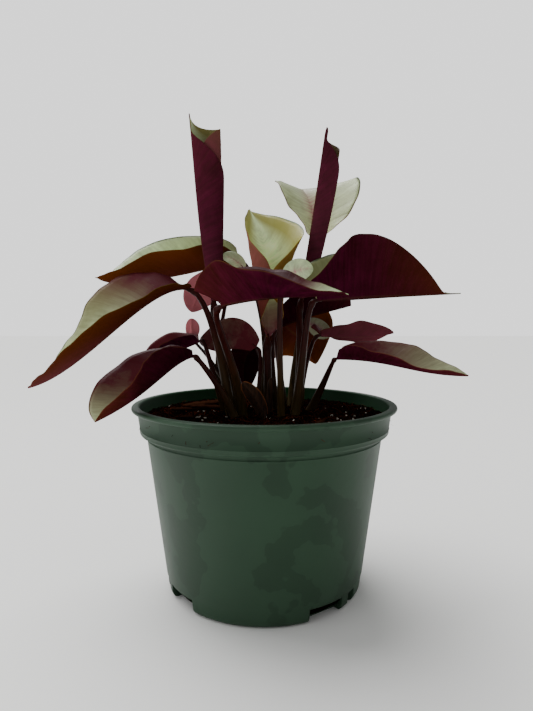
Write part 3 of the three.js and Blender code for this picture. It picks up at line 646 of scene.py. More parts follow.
def stalk_path(leaf, steps):
    """Points of the stalk's middle line in mm, from below the soil into the base of the midrib."""
    stalk = leaf["stalk"]
    base, along = curve_at(curve_through(leaf["mid"]), 0.0)
    face = np.array(leaf.get("face", (0, 0, 1)), float)
    up = unit(face - along * (along @ face))
    below = leaf["tube"][0] if "tube" in leaf else STALK_BELOW
    end = base - along * STALK_BEHIND - up * below
    root = np.array([*stalk["root"], SOIL_LEVEL - ROOT_DEPTH])
    lead = end - along * stalk["bend"]
    bow = (8 * np.array(stalk["mid"], float) - root - end - 3 * lead) / 3
    path, _ = curve_at((root, bow, lead, end), np.linspace(0, 1, steps))
    inside = [end + along * reach + up * RIB_SLOPE * min(reach, SLOPE_LENGTH) for reach in RIB_REACHES]
    return np.concatenate([path, inside])


def stalk_radii(leaf, count):
    """Radius in mm along a stalk: a sheathed foot, a slim neck, and a small swelling under the blade."""
    thick, thin = leaf["stalk"].get("radii", STALK_RADII)
    t = np.linspace(0, 1, count)
    radius = thick + (thin - thick) * np.minimum(1, 1.3 * t)
    radius = radius * (1 + SWELLING["share"] * np.exp(-((t - SWELLING["at"]) / SWELLING["spread"]) ** 2))
    radius = radius * (1 + SHEATHED_FOOT["share"] * np.exp(-(t / SHEATHED_FOOT["spread"]) ** 2))
    # the last stretch thins out into the midrib
    return radius * np.interp(t, (0, 0.93, 1), (1, 0.85, 0.45))


# making objects

def new_piece(name, points, faces, smooth=True, values=None, finish=None):
    """Mesh object at the origin from points in mm; values are numbers or vectors kept at its points."""
    mesh = bpy.data.meshes.new(name)
    mesh.from_pydata(np.asarray(points, float) * MM, [], faces)
    flags = np.full(len(faces), smooth) if isinstance(smooth, bool) else np.array(smooth)
    mesh.polygons.foreach_set("use_smooth", flags)
    if finish is not None:
        mesh.polygons.foreach_set("material_index", np.array(finish))
    for key, given in (values or {}).items():
        kind, field = ("FLOAT", "value") if np.ndim(given) == 1 else ("FLOAT_VECTOR", "vector")
        layer = mesh.attributes.new(key, kind, "POINT")
        layer.data.foreach_set(field, np.asarray(given, np.float32).ravel())
    mesh.update()
    piece = bpy.data.objects.new(name, mesh)
    bpy.context.scene.collection.objects.link(piece)
    return piece


def hand_over(piece, slot, *nodes):
    """Puts a finished piece on the frame: it rides on the one body and stands for these nodes."""
    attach(piece, "root")
    if nodes:
        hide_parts(*nodes)


def grow(name, base, tree, values):
    """Runs a node tree on a base object and returns the result as a plain mesh object."""
    modifier = base.modifiers.new(tree.name, "NODES")
    modifier.node_group = tree
    for item in tree.interface.items_tree:
        if item.item_type == "SOCKET" and item.in_out == "INPUT" and item.name in values:
            modifier[item.identifier] = values[item.name]
    shaped = base.evaluated_get(bpy.context.evaluated_depsgraph_get())
    mesh = bpy.data.meshes.new_from_object(shaped)
    base.modifiers.remove(modifier)
    mesh.name = name
    piece = bpy.data.objects.new(name, mesh)
    bpy.context.scene.collection.objects.link(piece)
    return piece


def new_tree(name, inputs):
    """Geometry node tree with named inputs: name to (socket kind, default)."""
    tree = bpy.data.node_groups.new(name, "GeometryNodeTree")
    tree.interface.new_socket("Geometry", in_out="OUTPUT", socket_type="NodeSocketGeometry")
    tree.interface.new_socket("Geometry", in_out="INPUT", socket_type="NodeSocketGeometry")
    for label, (kind, default) in inputs.items():
        socket = tree.interface.new_socket(label, in_out="INPUT", socket_type=kind)
        if default is not None:
            socket.default_value = default
    return tree


# finishes

def new_finish(name):
    """Empty material, and the function that adds nodes to it, which each finish calls n."""
    finish = bpy.data.materials.new(name)
    finish.use_nodes = True
    finish.node_tree.nodes.clear()
    return finish, partial(add_node, finish.node_tree)


def pattern_scale(*sizes):
    """Scale for a pattern whose swells have this size in mm, or these sizes along X, Y and Z."""
    scales = tuple(1 / (size * MM) for size in sizes)
    return scales if len(scales) > 1 else scales[0]


def toned(n, colour, value, span, gain):
    """Colour times a gain that goes from one value to another as a pattern crosses a span."""
    light = n("ShaderNodeMapRange", {"Value": value, "From Min": span[0], "From Max": span[1],
                                     "To Min": gain[0], "To Max": gain[1]})
    return n("ShaderNodeMix", {"Factor": 1.0, "A": colour, "B": light}, data_type="RGBA",
             blend_type="MULTIPLY")


def skin(n, colour, roughness, specular, relief, strength, depth):
    """Ends a finish with its surface, whose relief is a bump of a depth in mm."""
    bump = n("ShaderNodeBump", {"Strength": strength, "Distance": depth * MM, "Height": relief})
    surface = n("ShaderNodeBsdfPrincipled", {"Base Color": colour, "Roughness": roughness,
                                             "Normal": bump, "Specular IOR Level": specular})
    n("ShaderNodeOutputMaterial", {"Surface": surface})


def leaf_values(n, vein_spacing):
    """Values that both faces of a blade share: where a point lies on the blade, its tints, side
    veins vein_spacing apart, streaks along them, and a mottle."""
    spot = n("ShaderNodeAttribute", attribute_name="leaf_place", output="Vector")
    aside, along, _ = n("ShaderNodeSeparateXYZ", {"Vector": spot}).node.outputs
    tint = n("ShaderNodeAttribute", attribute_name="leaf_tint", output="Vector")
    tints = n("ShaderNodeSeparateXYZ", {"Vector": tint}).node.outputs
    across = n("ShaderNodeMath", {0: aside}, operation="ABSOLUTE")
    shade = n("ShaderNodeAttribute", attribute_name="leaf_shade", output="Fac")
    stretched = n("ShaderNodeVectorMath", {0: spot, 1: LEAF_STREAK}, operation="MULTIPLY")
    streak = n("ShaderNodeTexNoise", {"Vector": stretched, "Scale": 1.0, "Detail": 4, "Roughness": 0.65})
    place = n("ShaderNodeTexCoord", output="Object")
    mottle = n("ShaderNodeTexNoise", {"Vector": place, "Scale": pattern_scale(MOTTLE), "Detail": 5,
                                      "Roughness": 0.6})
    bent = n("ShaderNodeMath", {0: streak, 1: VEIN_WANDER, 2: along}, operation="MULTIPLY_ADD")
    saw = n("ShaderNodeMath", {0: bent, 1: vein_spacing / MM / 2}, operation="PINGPONG")
    vein = n("ShaderNodeMapRange", {"Value": saw, "From Max": VEIN_HALF_WIDTH, "To Min": 1, "To Max": 0},
             interpolation_type="SMOOTHSTEP")
    return dict(across=across, tints=tints, streak=streak, mottle=mottle, vein=vein, shade=shade)


def leaf_skin(n, colour, blade, roughness, specular):
    """Surface of a blade: colour under its shade, a satin gloss that the mottle breaks up, and fine
    vein relief."""
    lit = n("ShaderNodeMath", {0: 1.0, 1: blade["shade"]}, operation="SUBTRACT")
    colour = n("ShaderNodeMix", {"Factor": 1.0, "A": colour, "B": lit}, data_type="RGBA",
               blend_type="MULTIPLY")
    gloss = n("ShaderNodeMapRange", {"Value": blade["mottle"], "From Min": 0.3, "From Max": 0.7,
                                     "To Min": roughness - 0.07, "To Max": roughness + 0.1})
    relief = n("ShaderNodeMath", {0: blade["vein"], 1: -0.25, 2: blade["streak"]},
               operation="MULTIPLY_ADD")
    skin(n, colour, gloss, specular, relief, strength=0.35, depth=0.35)


def leaf_upper_finish(settings, name, specular):
    """Live leaf, upper face: a waxy silver-green bloom, so a soft broad sheen, with faint darker side
    veins, an irregular green margin and a pink flush beside the midrib. A young or shaded leaf is plum
    and has less of the bloom, so less sheen."""
    finish, n = new_finish(name)
    blade = leaf_values(n, settings.vein_spacing)
    wash, flush, warm = blade["tints"]
    tone = n("ShaderNodeMath", {0: blade["mottle"], 1: blade["streak"]}, operation="ADD")
    colour = toned(n, settings.silver, tone, span=(0.75, 1.25), gain=(0.68, 1.18))
    veins = n("ShaderNodeMath", {0: blade["vein"], 1: 0.07}, operation="MULTIPLY")
    # the flush is strongest at the midrib and runs out along the side veins
    near = n("ShaderNodeMath", {0: 1.0, 1: blade["across"]}, operation="SUBTRACT")
    near = n("ShaderNodeMath", {0: near, 1: 4.0}, operation="POWER")
    veined = n("ShaderNodeMapRange", {"Value": blade["vein"], "To Min": 0.55, "To Max": 1.3})
    near = n("ShaderNodeMath", {0: near, 1: veined}, operation="MULTIPLY")
    near = n("ShaderNodeMath", {0: near, 1: flush}, operation="MULTIPLY", use_clamp=True)
    outer = n("ShaderNodeMapRange", {"Value": blade["across"], "From Min": 0.25, "From Max": 0.7,
                                     "To Min": 0.12})
    outer = n("ShaderNodeMath", {0: warm, 1: outer}, operation="MULTIPLY")
    jag = n("ShaderNodeMath", {0: blade["streak"], 1: 0.07, 2: blade["across"]}, operation="MULTIPLY_ADD")
    rim = n("ShaderNodeMapRange", {"Value": jag, "From Min": 0.985, "From Max": 1.025},
            interpolation_type="SMOOTHSTEP")
    # the plum comes in soft patches: the tint decides how much of the mottle it covers
    patch = n("ShaderNodeMapRange", {"Value": blade["mottle"], "From Min": 0.35, "From Max": 0.65,
                                     "To Min": 0.85, "To Max": 1.0})
    patch = n("ShaderNodeMath", {0: wash, 1: patch}, operation="MULTIPLY")
    layers = (
        (veins, settings.margin), (near, settings.pink), (outer, settings.olive), (rim, settings.margin),
        (patch, settings.plum),
    )
    for mask, tint in layers:
        colour = n("ShaderNodeMix", {"Factor": mask, "A": colour, "B": tint}, data_type="RGBA")
    leaf_skin(n, colour, blade, roughness=0.42, specular=specular)
    return finish


def leaf_lower_finish(settings):
    """Live leaf, lower face: matt burgundy, with lighter streaks that are partly its own tone and partly
    painted satin sheen; brown or olive where thin tissue lets light through, rose on the young leaves,
    with a paler midrib and a fine pale line along the margin."""
    finish, n = new_finish("calathea_leaf_lower_face")
    blade = leaf_values(n, settings.vein_spacing)
    glow, blush, moss = blade["tints"]
    tone = n("ShaderNodeMath", {0: blade["mottle"], 1: blade["streak"]}, operation="ADD")
    # the wide gain on these streaks is partly the leaf's own tone and partly painted satin sheen, as this
    # face has no specular
    colour = toned(n, settings.burgundy, tone, span=(0.75, 1.25), gain=(0.55, 1.5))
    far = n("ShaderNodeMapRange", {"Value": blade["across"], "To Min": 0.55, "To Max": 1.0})
    thin = n("ShaderNodeMath", {0: glow, 1: far}, operation="MULTIPLY", use_clamp=True)
    veins = n("ShaderNodeMath", {0: blade["vein"], 1: 0.015}, operation="MULTIPLY")
    margin = n("ShaderNodeMapRange", {"Value": blade["across"], "From Min": 0.975, "From Max": 0.99,
                                      "To Max": 0.08})
    rib = n("ShaderNodeMapRange", {"Value": blade["across"], "From Min": 0.02, "From Max": 0.045,
                                   "To Min": 0.08, "To Max": 0.0})
    lines = n("ShaderNodeMath", {0: margin, 1: rib}, operation="MAXIMUM")
    layers = (
        (blush, settings.rose), (thin, settings.brown), (moss, settings.olive), (veins, settings.olive),
        (lines, settings.olive),
    )
    for mask, tint in layers:
        colour = n("ShaderNodeMix", {"Factor": mask, "A": colour, "B": tint}, data_type="RGBA")
    leaf_skin(n, colour, blade, roughness=0.45, specular=0.0)
    return finish


def stalk_finish(settings):
    """Fleshy stalk: smooth and damp, so it has a narrow highlight; olive brown at its sheathed foot,
    nearly black red above, streaked lengthwise."""
    finish, n = new_finish("calathea_stalk")
    along = n("ShaderNodeAttribute", attribute_name="stalk_along", output="Fac")
    place = n("ShaderNodeTexCoord", output="Object")
    fine = n("ShaderNodeVectorMath", {0: place, 1: pattern_scale(*STALK_STREAK)}, operation="MULTIPLY")
    streak = n("ShaderNodeTexNoise", {"Vector": fine, "Scale": 1.0, "Detail": 4})
    height = n("ShaderNodeMath", {0: streak, 1: 0.4, 2: along}, operation="MULTIPLY_ADD")
    height = n("ShaderNodeMapRange", {"Value": height, "From Min": 0.35, "From Max": 0.85})
    colour = n("ShaderNodeMix", {"Factor": height, "A": settings.stalk_base, "B": settings.stalk},
               data_type="RGBA")
    colour = toned(n, colour, streak, span=(0.3, 0.7), gain=(0.6, 1.5))
    skin(n, colour, 0.32, 0.07, streak, strength=0.4, depth=0.3)
    return finish


def husk_finish():
    """Dried sheath and cut stem: dead, fibrous and papery, so matt, brown with an orange edge."""
    finish, n = new_finish("dried_leaf_sheath")
    spot = n("ShaderNodeAttribute", attribute_name="leaf_place", output="Vector")
    across = n("ShaderNodeMath", {0: n("ShaderNodeSeparateXYZ", {"Vector": spot})}, operation="ABSOLUTE")
    place = n("ShaderNodeTexCoord", output="Object")
    fine = n("ShaderNodeVectorMath", {0: place, 1: pattern_scale(*HUSK_STREAK)}, operation="MULTIPLY")
    streak = n("ShaderNodeTexNoise", {"Vector": fine, "Scale": 1.0, "Detail": 5})
    tone = n("ShaderNodeMapRange", {"Value": streak, "From Min": 0.35, "From Max": 0.65})
    colour = n("ShaderNodeMix", {"Factor": tone, "A": linear("#140a05"), "B": linear("#3c2413")},
               data_type="RGBA")
    edge = n("ShaderNodeMapRange", {"Value": across, "From Min": 0.85, "From Max": 0.97})
    colour = n("ShaderNodeMix", {"Factor": edge, "A": colour, "B": linear("#7a4522")}, data_type="RGBA")
    skin(n, colour, 0.8, 0.2, streak, strength=0.6, depth=0.5)
    return finish


def pot_finish(settings):
    """Moulded polypropylene, pigmented dark green: satin skin with crisp-edged damp and dusty patches
    some 15 mm across, a few dark specks of about 1 mm, and a faint moulding ripple."""
    finish, n = new_finish("moulded_green_polypropylene")
    place = n("ShaderNodeTexCoord", output="Object")
    cloud = n("ShaderNodeTexNoise", {"Vector": place, "Scale": pattern_scale(DAMP_PATCH), "Detail": 3,
                                     "Roughness": 0.5})
    patch = n("ShaderNodeMapRange", {"Value": cloud, "From Min": 0.555, "From Max": 0.57})
    fade = n("ShaderNodeTexNoise", {"Vector": place, "Scale": pattern_scale(POT_FADE), "Detail": 3})
    tone = n("ShaderNodeMapRange", {"Value": fade, "From Min": 0.3, "From Max": 0.7, "To Min": 0.85,
                                    "To Max": 1.15})
    damp = n("ShaderNodeMath", {0: patch, 1: -0.2, 2: tone}, operation="MULTIPLY_ADD")
    colour = n("ShaderNodeMix", {"Factor": 1.0, "A": settings.colour, "B": damp}, data_type="RGBA",
               blend_type="MULTIPLY")
    # where the skin faces the middle, the inside wall is painted a darker deep green: painted shade, as the
    # inside lies in shade
    level = n("ShaderNodeVectorMath", {0: place, 1: (1, 1, 0)}, operation="MULTIPLY")
    facing = n("ShaderNodeVectorMath", {0: level, 1: n("ShaderNodeTexCoord", output="Normal")},
               operation="DOT_PRODUCT", output="Value")
    inside = n("ShaderNodeMath", {0: facing, 1: -0.03}, operation="LESS_THAN")
    colour = n("ShaderNodeMix", {"Factor": inside, "A": colour, "B": settings.inner}, data_type="RGBA")
    cells = n("ShaderNodeTexVoronoi", {"Vector": place, "Scale": pattern_scale(SPECK_SPACING)},
              feature="F1")
    chosen = n("ShaderNodeSeparateColor", {"Color": cells.node.outputs["Color"]})
    chosen = n("ShaderNodeMath", {0: chosen, 1: 0.93}, operation="GREATER_THAN")
    speck = n("ShaderNodeMapRange", {"Value": cells, "From Min": 0.035, "From Max": 0.06, "To Min": 0.8,
                                     "To Max": 0})
    speck = n("ShaderNodeMath", {0: speck, 1: chosen}, operation="MULTIPLY")
    colour = n("ShaderNodeMix", {"Factor": speck, "A": colour, "B": linear("#10140f")}, data_type="RGBA")
    gloss = n("ShaderNodeMapRange", {"Value": fade, "From Min": 0.3, "From Max": 0.7, "To Min": 0.42,
                                     "To Max": 0.56})
    ripple = n("ShaderNodeTexNoise", {"Vector": place, "Scale": pattern_scale(POT_RIPPLE), "Detail": 3})
    skin(n, colour, gloss, 0.16, ripple, strength=0.12, depth=0.3)
    return finish


def grain_finish(name, dark, pale, roughness, grit):
    """Loose grains: each has its own tone between two colours, with a rough broken surface whose grit
    is given in mm."""
    finish, n = new_finish(name)
    own = n("ShaderNodeAttribute", attribute_name="grain_tone", output="Fac")
    place = n("ShaderNodeTexCoord", output="Object")
    rough = n("ShaderNodeTexNoise", {"Vector": place, "Scale": pattern_scale(grit), "Detail": 4})
    tone = n("ShaderNodeMath", {0: own, 1: rough}, operation="MULTIPLY")
    tone = n("ShaderNodeMapRange", {"Value": tone, "From Min": 0.05, "From Max": 0.55})
    colour = n("ShaderNodeMix", {"Factor": tone, "A": dark, "B": pale}, data_type="RGBA")
    skin(n, colour, roughness, 0.0, rough, strength=0.7, depth=0.4)
    return finish


def floor_finish(settings):
    """Painted studio floor: pale and matt, with an even faint grain."""
    finish, n = new_finish("matt_studio_floor")
    place = n("ShaderNodeTexCoord", output="Object")
    grain = n("ShaderNodeTexNoise", {"Vector": place, "Scale": pattern_scale(FLOOR_GRAIN)})
    rough = n("ShaderNodeMapRange", {"Value": grain, "To Min": 0.75, "To Max": 0.85})
    paint = n("ShaderNodeBsdfPrincipled", {"Base Color": settings.floor, "Roughness": rough,
                                           "Specular IOR Level": 0.1})
    n("ShaderNodeOutputMaterial", {"Surface": paint})
    return finish


# node trees for what follows a path or repeats

def sweep_tree():
    """A tube along a curve that keeps each point's radius, with its place along as stalk_along."""
    tree = new_tree("sweep_stalk", {"Sides": ("NodeSocketInt", 16), "Finish": ("NodeSocketMaterial", None)})
    n = partial(add_node, tree)
    given = n("NodeGroupInput").node.outputs
    marked = n("GeometryNodeStoreNamedAttribute", {
        "Geometry": given["Geometry"], "Name": "stalk_along", "Value": n("GeometryNodeSplineParameter"),
    }, data_type="FLOAT", domain="POINT")
    ring = n("GeometryNodeCurvePrimitiveCircle", {"Resolution": given["Sides"], "Radius": 1.0})
    tube = n("GeometryNodeCurveToMesh", {"Curve": marked, "Profile Curve": ring, "Fill Caps": True,
                                         "Scale": n("GeometryNodeInputRadius")})
    smooth = n("GeometryNodeSetShadeSmooth", {"Geometry": tube})
    painted = n("GeometryNodeSetMaterial", {"Geometry": smooth, "Material": given["Finish"]})
    n("NodeGroupOutput", {"Geometry": painted})
    return tree


def scatter_tree(name, make_grain):
    """Grains of random size, turn and tone over a surface; make_grain adds the nodes of one."""
    tree = new_tree(name, {
        "Density": ("NodeSocketFloat", 1000.0),
        "Seed": ("NodeSocketInt", 0),
        "Size": ("NodeSocketFloat", MM),
        "Flatness": ("NodeSocketFloat", 0.7),
        "Tilt": ("NodeSocketFloat", 3.0),
        "Fineness": ("NodeSocketInt", 1),
        "Finish": ("NodeSocketMaterial", None),
    })
    n = partial(add_node, tree)
    given = n("NodeGroupInput").node.outputs
    spots = n("GeometryNodeDistributePointsOnFaces", {
        "Mesh": given["Geometry"], "Density": given["Density"], "Seed": given["Seed"],
    })
    tilt = n("ShaderNodeCombineXYZ", {"X": given["Tilt"], "Y": given["Tilt"], "Z": math.pi})
    back = n("ShaderNodeVectorMath", {0: tilt, 1: (-1, -1, -1)}, operation="MULTIPLY")
    turn = n("FunctionNodeRandomValue", {"Min": back, "Max": tilt, "Seed": 1}, data_type="FLOAT_VECTOR")
    squash = n("ShaderNodeCombineXYZ", {"X": 1.0, "Y": 1.0, "Z": given["Flatness"]})
    spread = n("FunctionNodeRandomValue", {"Min": (0.35, 0.35, 0.35), "Max": (1.5, 1.2, 1.2), "Seed": 2},
               data_type="FLOAT_VECTOR")
    size = n("ShaderNodeVectorMath", {0: spread, 1: squash}, operation="MULTIPLY")
    size = n("ShaderNodeVectorMath", {0: size, "Scale": given["Size"]}, operation="SCALE")
    grains = n("GeometryNodeInstanceOnPoints", {"Points": spots, "Instance": make_grain(n, given),
                                                "Rotation": turn, "Scale": size})
    tone = n("FunctionNodeRandomValue", {"Seed": 3}, data_type="FLOAT")
    marked = n("GeometryNodeStoreNamedAttribute", {"Geometry": grains, "Name": "grain_tone", "Value": tone},
               data_type="FLOAT", domain="INSTANCE")
    real = n("GeometryNodeRealizeInstances", {"Geometry": marked})
    painted = n("GeometryNodeSetMaterial", {"Geometry": real, "Material": given["Finish"]})
    n("NodeGroupOutput", {"Geometry": painted})
    return tree


def lump(n, given):
    """One grain, 1 across: a ball with its points pushed about."""
    ball = n("GeometryNodeMeshIcoSphere", {"Radius": 0.5, "Subdivisions": given["Fineness"]})
    push = n("ShaderNodeTexNoise", {"Scale": 1.7, "Detail": 1}, output="Color")
    push = n("ShaderNodeVectorMath", {0: push, 1: (0.5, 0.5, 0.5)}, operation="SUBTRACT")
    push = n("ShaderNodeVectorMath", {0: push, "Scale": 0.9}, operation="SCALE")
    return n("GeometryNodeSetPosition", {"Geometry": ball, "Offset": push})


def thread(n, given):
    """One fibre, 1 long: a bent three-sided thread."""
    line = n("GeometryNodeCurveQuadraticBezier", {"Resolution": 5, "Start": (-0.5, 0, 0),
                                                  "Middle": (0, 0.3, 0.25), "End": (0.5, 0, 0.05)})
    ring = n("GeometryNodeCurvePrimitiveCircle", {"Resolution": 3, "Radius": 0.022})
    return n("GeometryNodeCurveToMesh", {"Curve": line, "Profile Curve": ring, "Fill Caps": True})


# pieces

def lathe(profile, segments):
    """Points and faces of a closed outline of (radius, height) in mm turned about Z; the outline
    starts and ends on the axis."""
    turns = 2 * math.pi * np.arange(segments) / segments
    points, rings = [], []
    for radius, height in profile:
        angles = turns if radius > 0 else [0]
        ring = [(radius * math.sin(a), -radius * math.cos(a), height) for a in angles]
        rings.append([len(points) + (k % len(ring)) for k in range(segments + 1)])
        points += ring
    faces = []
    for low, high in zip(rings, rings[1:]):
        for k in range(segments):
            corners = dict.fromkeys((low[k], low[k + 1], high[k + 1], high[k]))
            faces.append(tuple(corners))
    return points, faces


def arc(radius, height, bend, start, end, steps=5):
    """Points of a round corner about (radius, height), from start to end in degrees."""
    return [(radius + bend * math.cos(a), height + bend * math.sin(a))
            for a in np.radians(np.linspace(start, end, steps))]


def bead(radius, height, size):
    """Small raised ring on an upright wall."""
    return arc(radius, height, size, -80, 80, 5)


def pot_profile():
    """Closed outline of the pot in mm: foot, body, collar and rolled lip outside, then the inside."""
    lip_under = POT_HEIGHT - LIP_THICK
    body_top = POT_HEIGHT - CHAMFER_DEPTH
    collar_foot = POT_HEIGHT - COLLAR_DEPTH
    step, ledge = FOOT_STEP
    outside = [
        (0, 0),
        *arc(FOOT_RADIUS - FOOT_CORNER, FOOT_CORNER, FOOT_CORNER, -90, 0),
        (FOOT_RADIUS + step, FOOT_BAND),
        (FOOT_RADIUS + step + ledge, FOOT_BAND + step),
        *bead(BODY_TOP_RADIUS, body_top, BODY_BEAD),
        *arc(BODY_TOP_RADIUS + STEP_OUT + STEP_CORNER, body_top + 2 * STEP_CORNER, STEP_CORNER, 180, 110, 3),
        *arc(COLLAR_LOW_RADIUS - COLLAR_CORNER, collar_foot - COLLAR_EASE, COLLAR_CORNER, -50, 10, 4),
        *bead(COLLAR_LOW_RADIUS, collar_foot + 2 * COLLAR_EASE, COLLAR_BEAD),
        *arc(COLLAR_TOP_RADIUS + LIP_CORNER, lip_under - LIP_CORNER, LIP_CORNER, 180, 100, 3),
        *arc(LIP_RADIUS - LIP_ROLL, POT_HEIGHT - LIP_THICK / 2, LIP_ROLL, -80, 80, 9),
    ]
    inside = [
        *arc(COLLAR_TOP_RADIUS - WALL + INNER_ROLL, POT_HEIGHT - INNER_ROLL, INNER_ROLL, 90, 180, 4),
        (COLLAR_LOW_RADIUS - WALL, collar_foot + COLLAR_EASE),
        (BODY_TOP_RADIUS - WALL, body_top),
        (FOOT_RADIUS - WALL, FLOOR + FOOT_CORNER),
        (FOOT_RADIUS - FLOOR_INSET, FLOOR),
        (0, FLOOR),
    ]
    return outside + inside


def slot_cutter(turn, width):
    """Block in mm that reaches through the foot of the pot, turned in degrees from the mould line."""
    angle = math.radians(turn + MOULD_LINE)
    out = np.array([math.sin(angle), -math.cos(angle), 0])
    side = np.array([math.cos(angle), math.sin(angle), 0])
    up = np.array([0, 0, SLOT_HEIGHT])
    square = ((-1, -1), (-1, 1), (1, 1), (1, -1))
    corners = [out * (FOOT_RADIUS - 1 + SLOT_REACH * a) + side * width / 2 * b + up * c
               for c in (-1, 1) for a, b in square]
    walls = [(i + 4, (i + 1) % 4 + 4, (i + 1) % 4, i) for i in range(4)]
    return new_piece("slot_cutter", corners, [(0, 1, 2, 3), (7, 6, 5, 4), *walls], smooth=False)


def cut_slots(piece):
    """Cuts the drain slots through the foot of the pot."""
    for slot in (BIG_SLOT, SMALL_SLOT):
        for turn in (*slot["turns"], *(-t for t in slot["turns"])):
            cutter = slot_cutter(turn, slot["width"])
            cut = piece.modifiers.new("slot", "BOOLEAN")
            cut.object = cutter
            cut.operation = "DIFFERENCE"
            cut.solver = "EXACT"
            shaped = piece.evaluated_get(bpy.context.evaluated_depsgraph_get())
            mesh = bpy.data.meshes.new_from_object(shaped)
            piece.modifiers.remove(cut)
            bpy.data.objects.remove(cutter)
            piece.data = mesh


def soil_height(x, y):
    """Gentle heaps of the soil surface, as in the part's source, in mm."""
    heaps = math.sin(x * 0.21 + 1.1) * math.cos(y * 0.17 - 0.4) + 0.6 * math.sin(x * 0.43 - y * 0.31)
    return SOIL_LEVEL + SOIL_RELIEF * 0.6 * heaps * (1 - math.hypot(x, y) / (1.4 * LIP_RADIUS))


def soil_surface(rings=46, sides=120):
    """Crumbly disc over the soil, in mm, with a short skirt down the wall."""
    points = [(0, 0, soil_height(0, 0) + CRUST_MIDDLE)]
    faces = []
    for ring in range(1, rings + 2):
        radius = SOIL_EDGE * min(ring, rings) / rings
        skirt = SKIRT_DEPTH if ring > rings else 0
        for k in range(sides):
            turn = 2 * math.pi * k / sides
            x, y = radius * math.cos(turn), radius * math.sin(turn)
            lumps = sum(noise.noise(Vector((x, y, layer)) / size) * height
                        for size, height, layer in CRUST_LUMPS)
            points.append((x, y, soil_height(x, y) + (CRUST_LIFT + lumps - skirt)))
        low, high = 1 + (ring - 2) * sides, 1 + (ring - 1) * sides
        for k in range(sides):
            after = (k + 1) % sides
            outer = (high + k, high + after)
            faces.append((0, *outer) if ring == 1 else (low + k, *outer, low + after))
    return points, faces


def bark_chip(centre, size, heading, tilt, seed, sides=10, stations=16):
    """Flat splintered flake of bark, in mm and degrees; size is length, width and thickness."""
    rng = random.Random(seed)
    length, width, thickness = size
    heading, tilt = math.radians(heading), math.radians(tilt)
    along = Vector((math.cos(heading) * math.cos(tilt), math.sin(heading) * math.cos(tilt), math.sin(tilt)))
    side = Vector((-math.sin(heading), math.cos(heading), 0))
    up = along.cross(side)
    points, faces = [], []
    for i in range(stations + 1):
        t = i / stations
        taper = math.sin(math.pi * (0.06 + 0.88 * t)) ** 0.45
        for k in range(sides):
            turn = 2 * math.pi * k / sides
            swell = taper * (1 + rng.uniform(-SPLINTER, SPLINTER))
            reach = length * (t - 0.5) + rng.uniform(-RAGGED, RAGGED)
            if i in (0, stations):
                reach += RAGGED_END * rng.uniform(-1, 1)
            across = width / 2 * swell * math.cos(turn)
            rise = thickness / 2 * swell * math.sin(turn)
            points.append(Vector(centre) + along * reach + side * across + up * rise)
    for i in range(stations):
        for k in range(sides):
            a, b = i * sides + k, i * sides + (k + 1) % sides
            faces.append((a, b, b + sides, a + sides))
    faces.append(tuple(reversed(range(sides))))
    faces.append(tuple(range(stations * sides, (stations + 1) * sides)))
    return points, faces


def sweep(name, path, radii, tree, finish):
    """Tube along a path in mm with a radius in mm at each point, as a mesh object."""
    curve = bpy.data.curves.new(name, "CURVE")
    curve.dimensions = "3D"
    spline = curve.splines.new("POLY")
    spline.points.add(len(path) - 1)
    for point, place, radius in zip(spline.points, path, radii):
        point.co = (*(place * MM), 1)
        point.radius = radius * MM
    guide = bpy.data.objects.new(f"{name}_guide", curve)
    bpy.context.scene.collection.objects.link(guide)
    piece = grow(name, guide, tree, dict(Sides=STALK_SIDES, Finish=finish))
    bpy.data.objects.remove(guide)
    return piece


def add_light(name, kind, place, energy):
    """Light at a place in metres that faces the plant; returns its data for the rest."""
    light = bpy.data.lights.new(name, kind)
    light.energy = energy
    lamp = bpy.data.objects.new(name, light)
    lamp.location = place
    lamp.rotation_euler = (Vector(LIT_POINT) - Vector(place)).to_track_quat("-Z", "Y").to_euler()
    bpy.context.scene.collection.objects.link(lamp)
    return light


# operators

class CALATHEA_OT_blades(bpy.types.Operator):
    """Builds every leaf blade"""
    bl_idname = "calathea.build_blades"
    bl_label = "Build leaf blades"

    def execute(self, context):
        settings = context.scene.calathea_leaves
        silver = leaf_upper_finish(settings, "calathea_silver_leaf_face", specular=0.3)
        plum = leaf_upper_finish(settings, "calathea_plum_leaf_face", specular=0.04)
        lower = leaf_lower_finish(settings)
        for seed, leaf in enumerate(LEAVES):
            piece = new_piece(f"{leaf['name']}_blade", **blade_mesh(leaf, settings, seed))
            base_wash = TINTS[leaf["name"]].get("wash", NO_TINT)[0]
            piece.data.materials.append(plum if base_wash > PLUM_WASH else silver)
            piece.data.materials.append(lower)
            hand_over(piece, "leaf", leaf["name"])
        return {"FINISHED"}


class CALATHEA_OT_stalks(bpy.types.Operator):
    """Builds every leaf stalk as a tube swept along its path"""
    bl_idname = "calathea.build_stalks"
    bl_label = "Build leaf stalks"

    def execute(self, context):
        finish = stalk_finish(context.scene.calathea_leaves)
        tree = sweep_tree()
        for leaf in LEAVES:
            path = stalk_path(leaf, STALK_STEPS)
            piece = sweep(f"{leaf['name']}_petiole", path, stalk_radii(leaf, len(path)), tree, finish)
            hand_over(piece, "stalk", f"{leaf['name']}_stalk")
        return {"FINISHED"}


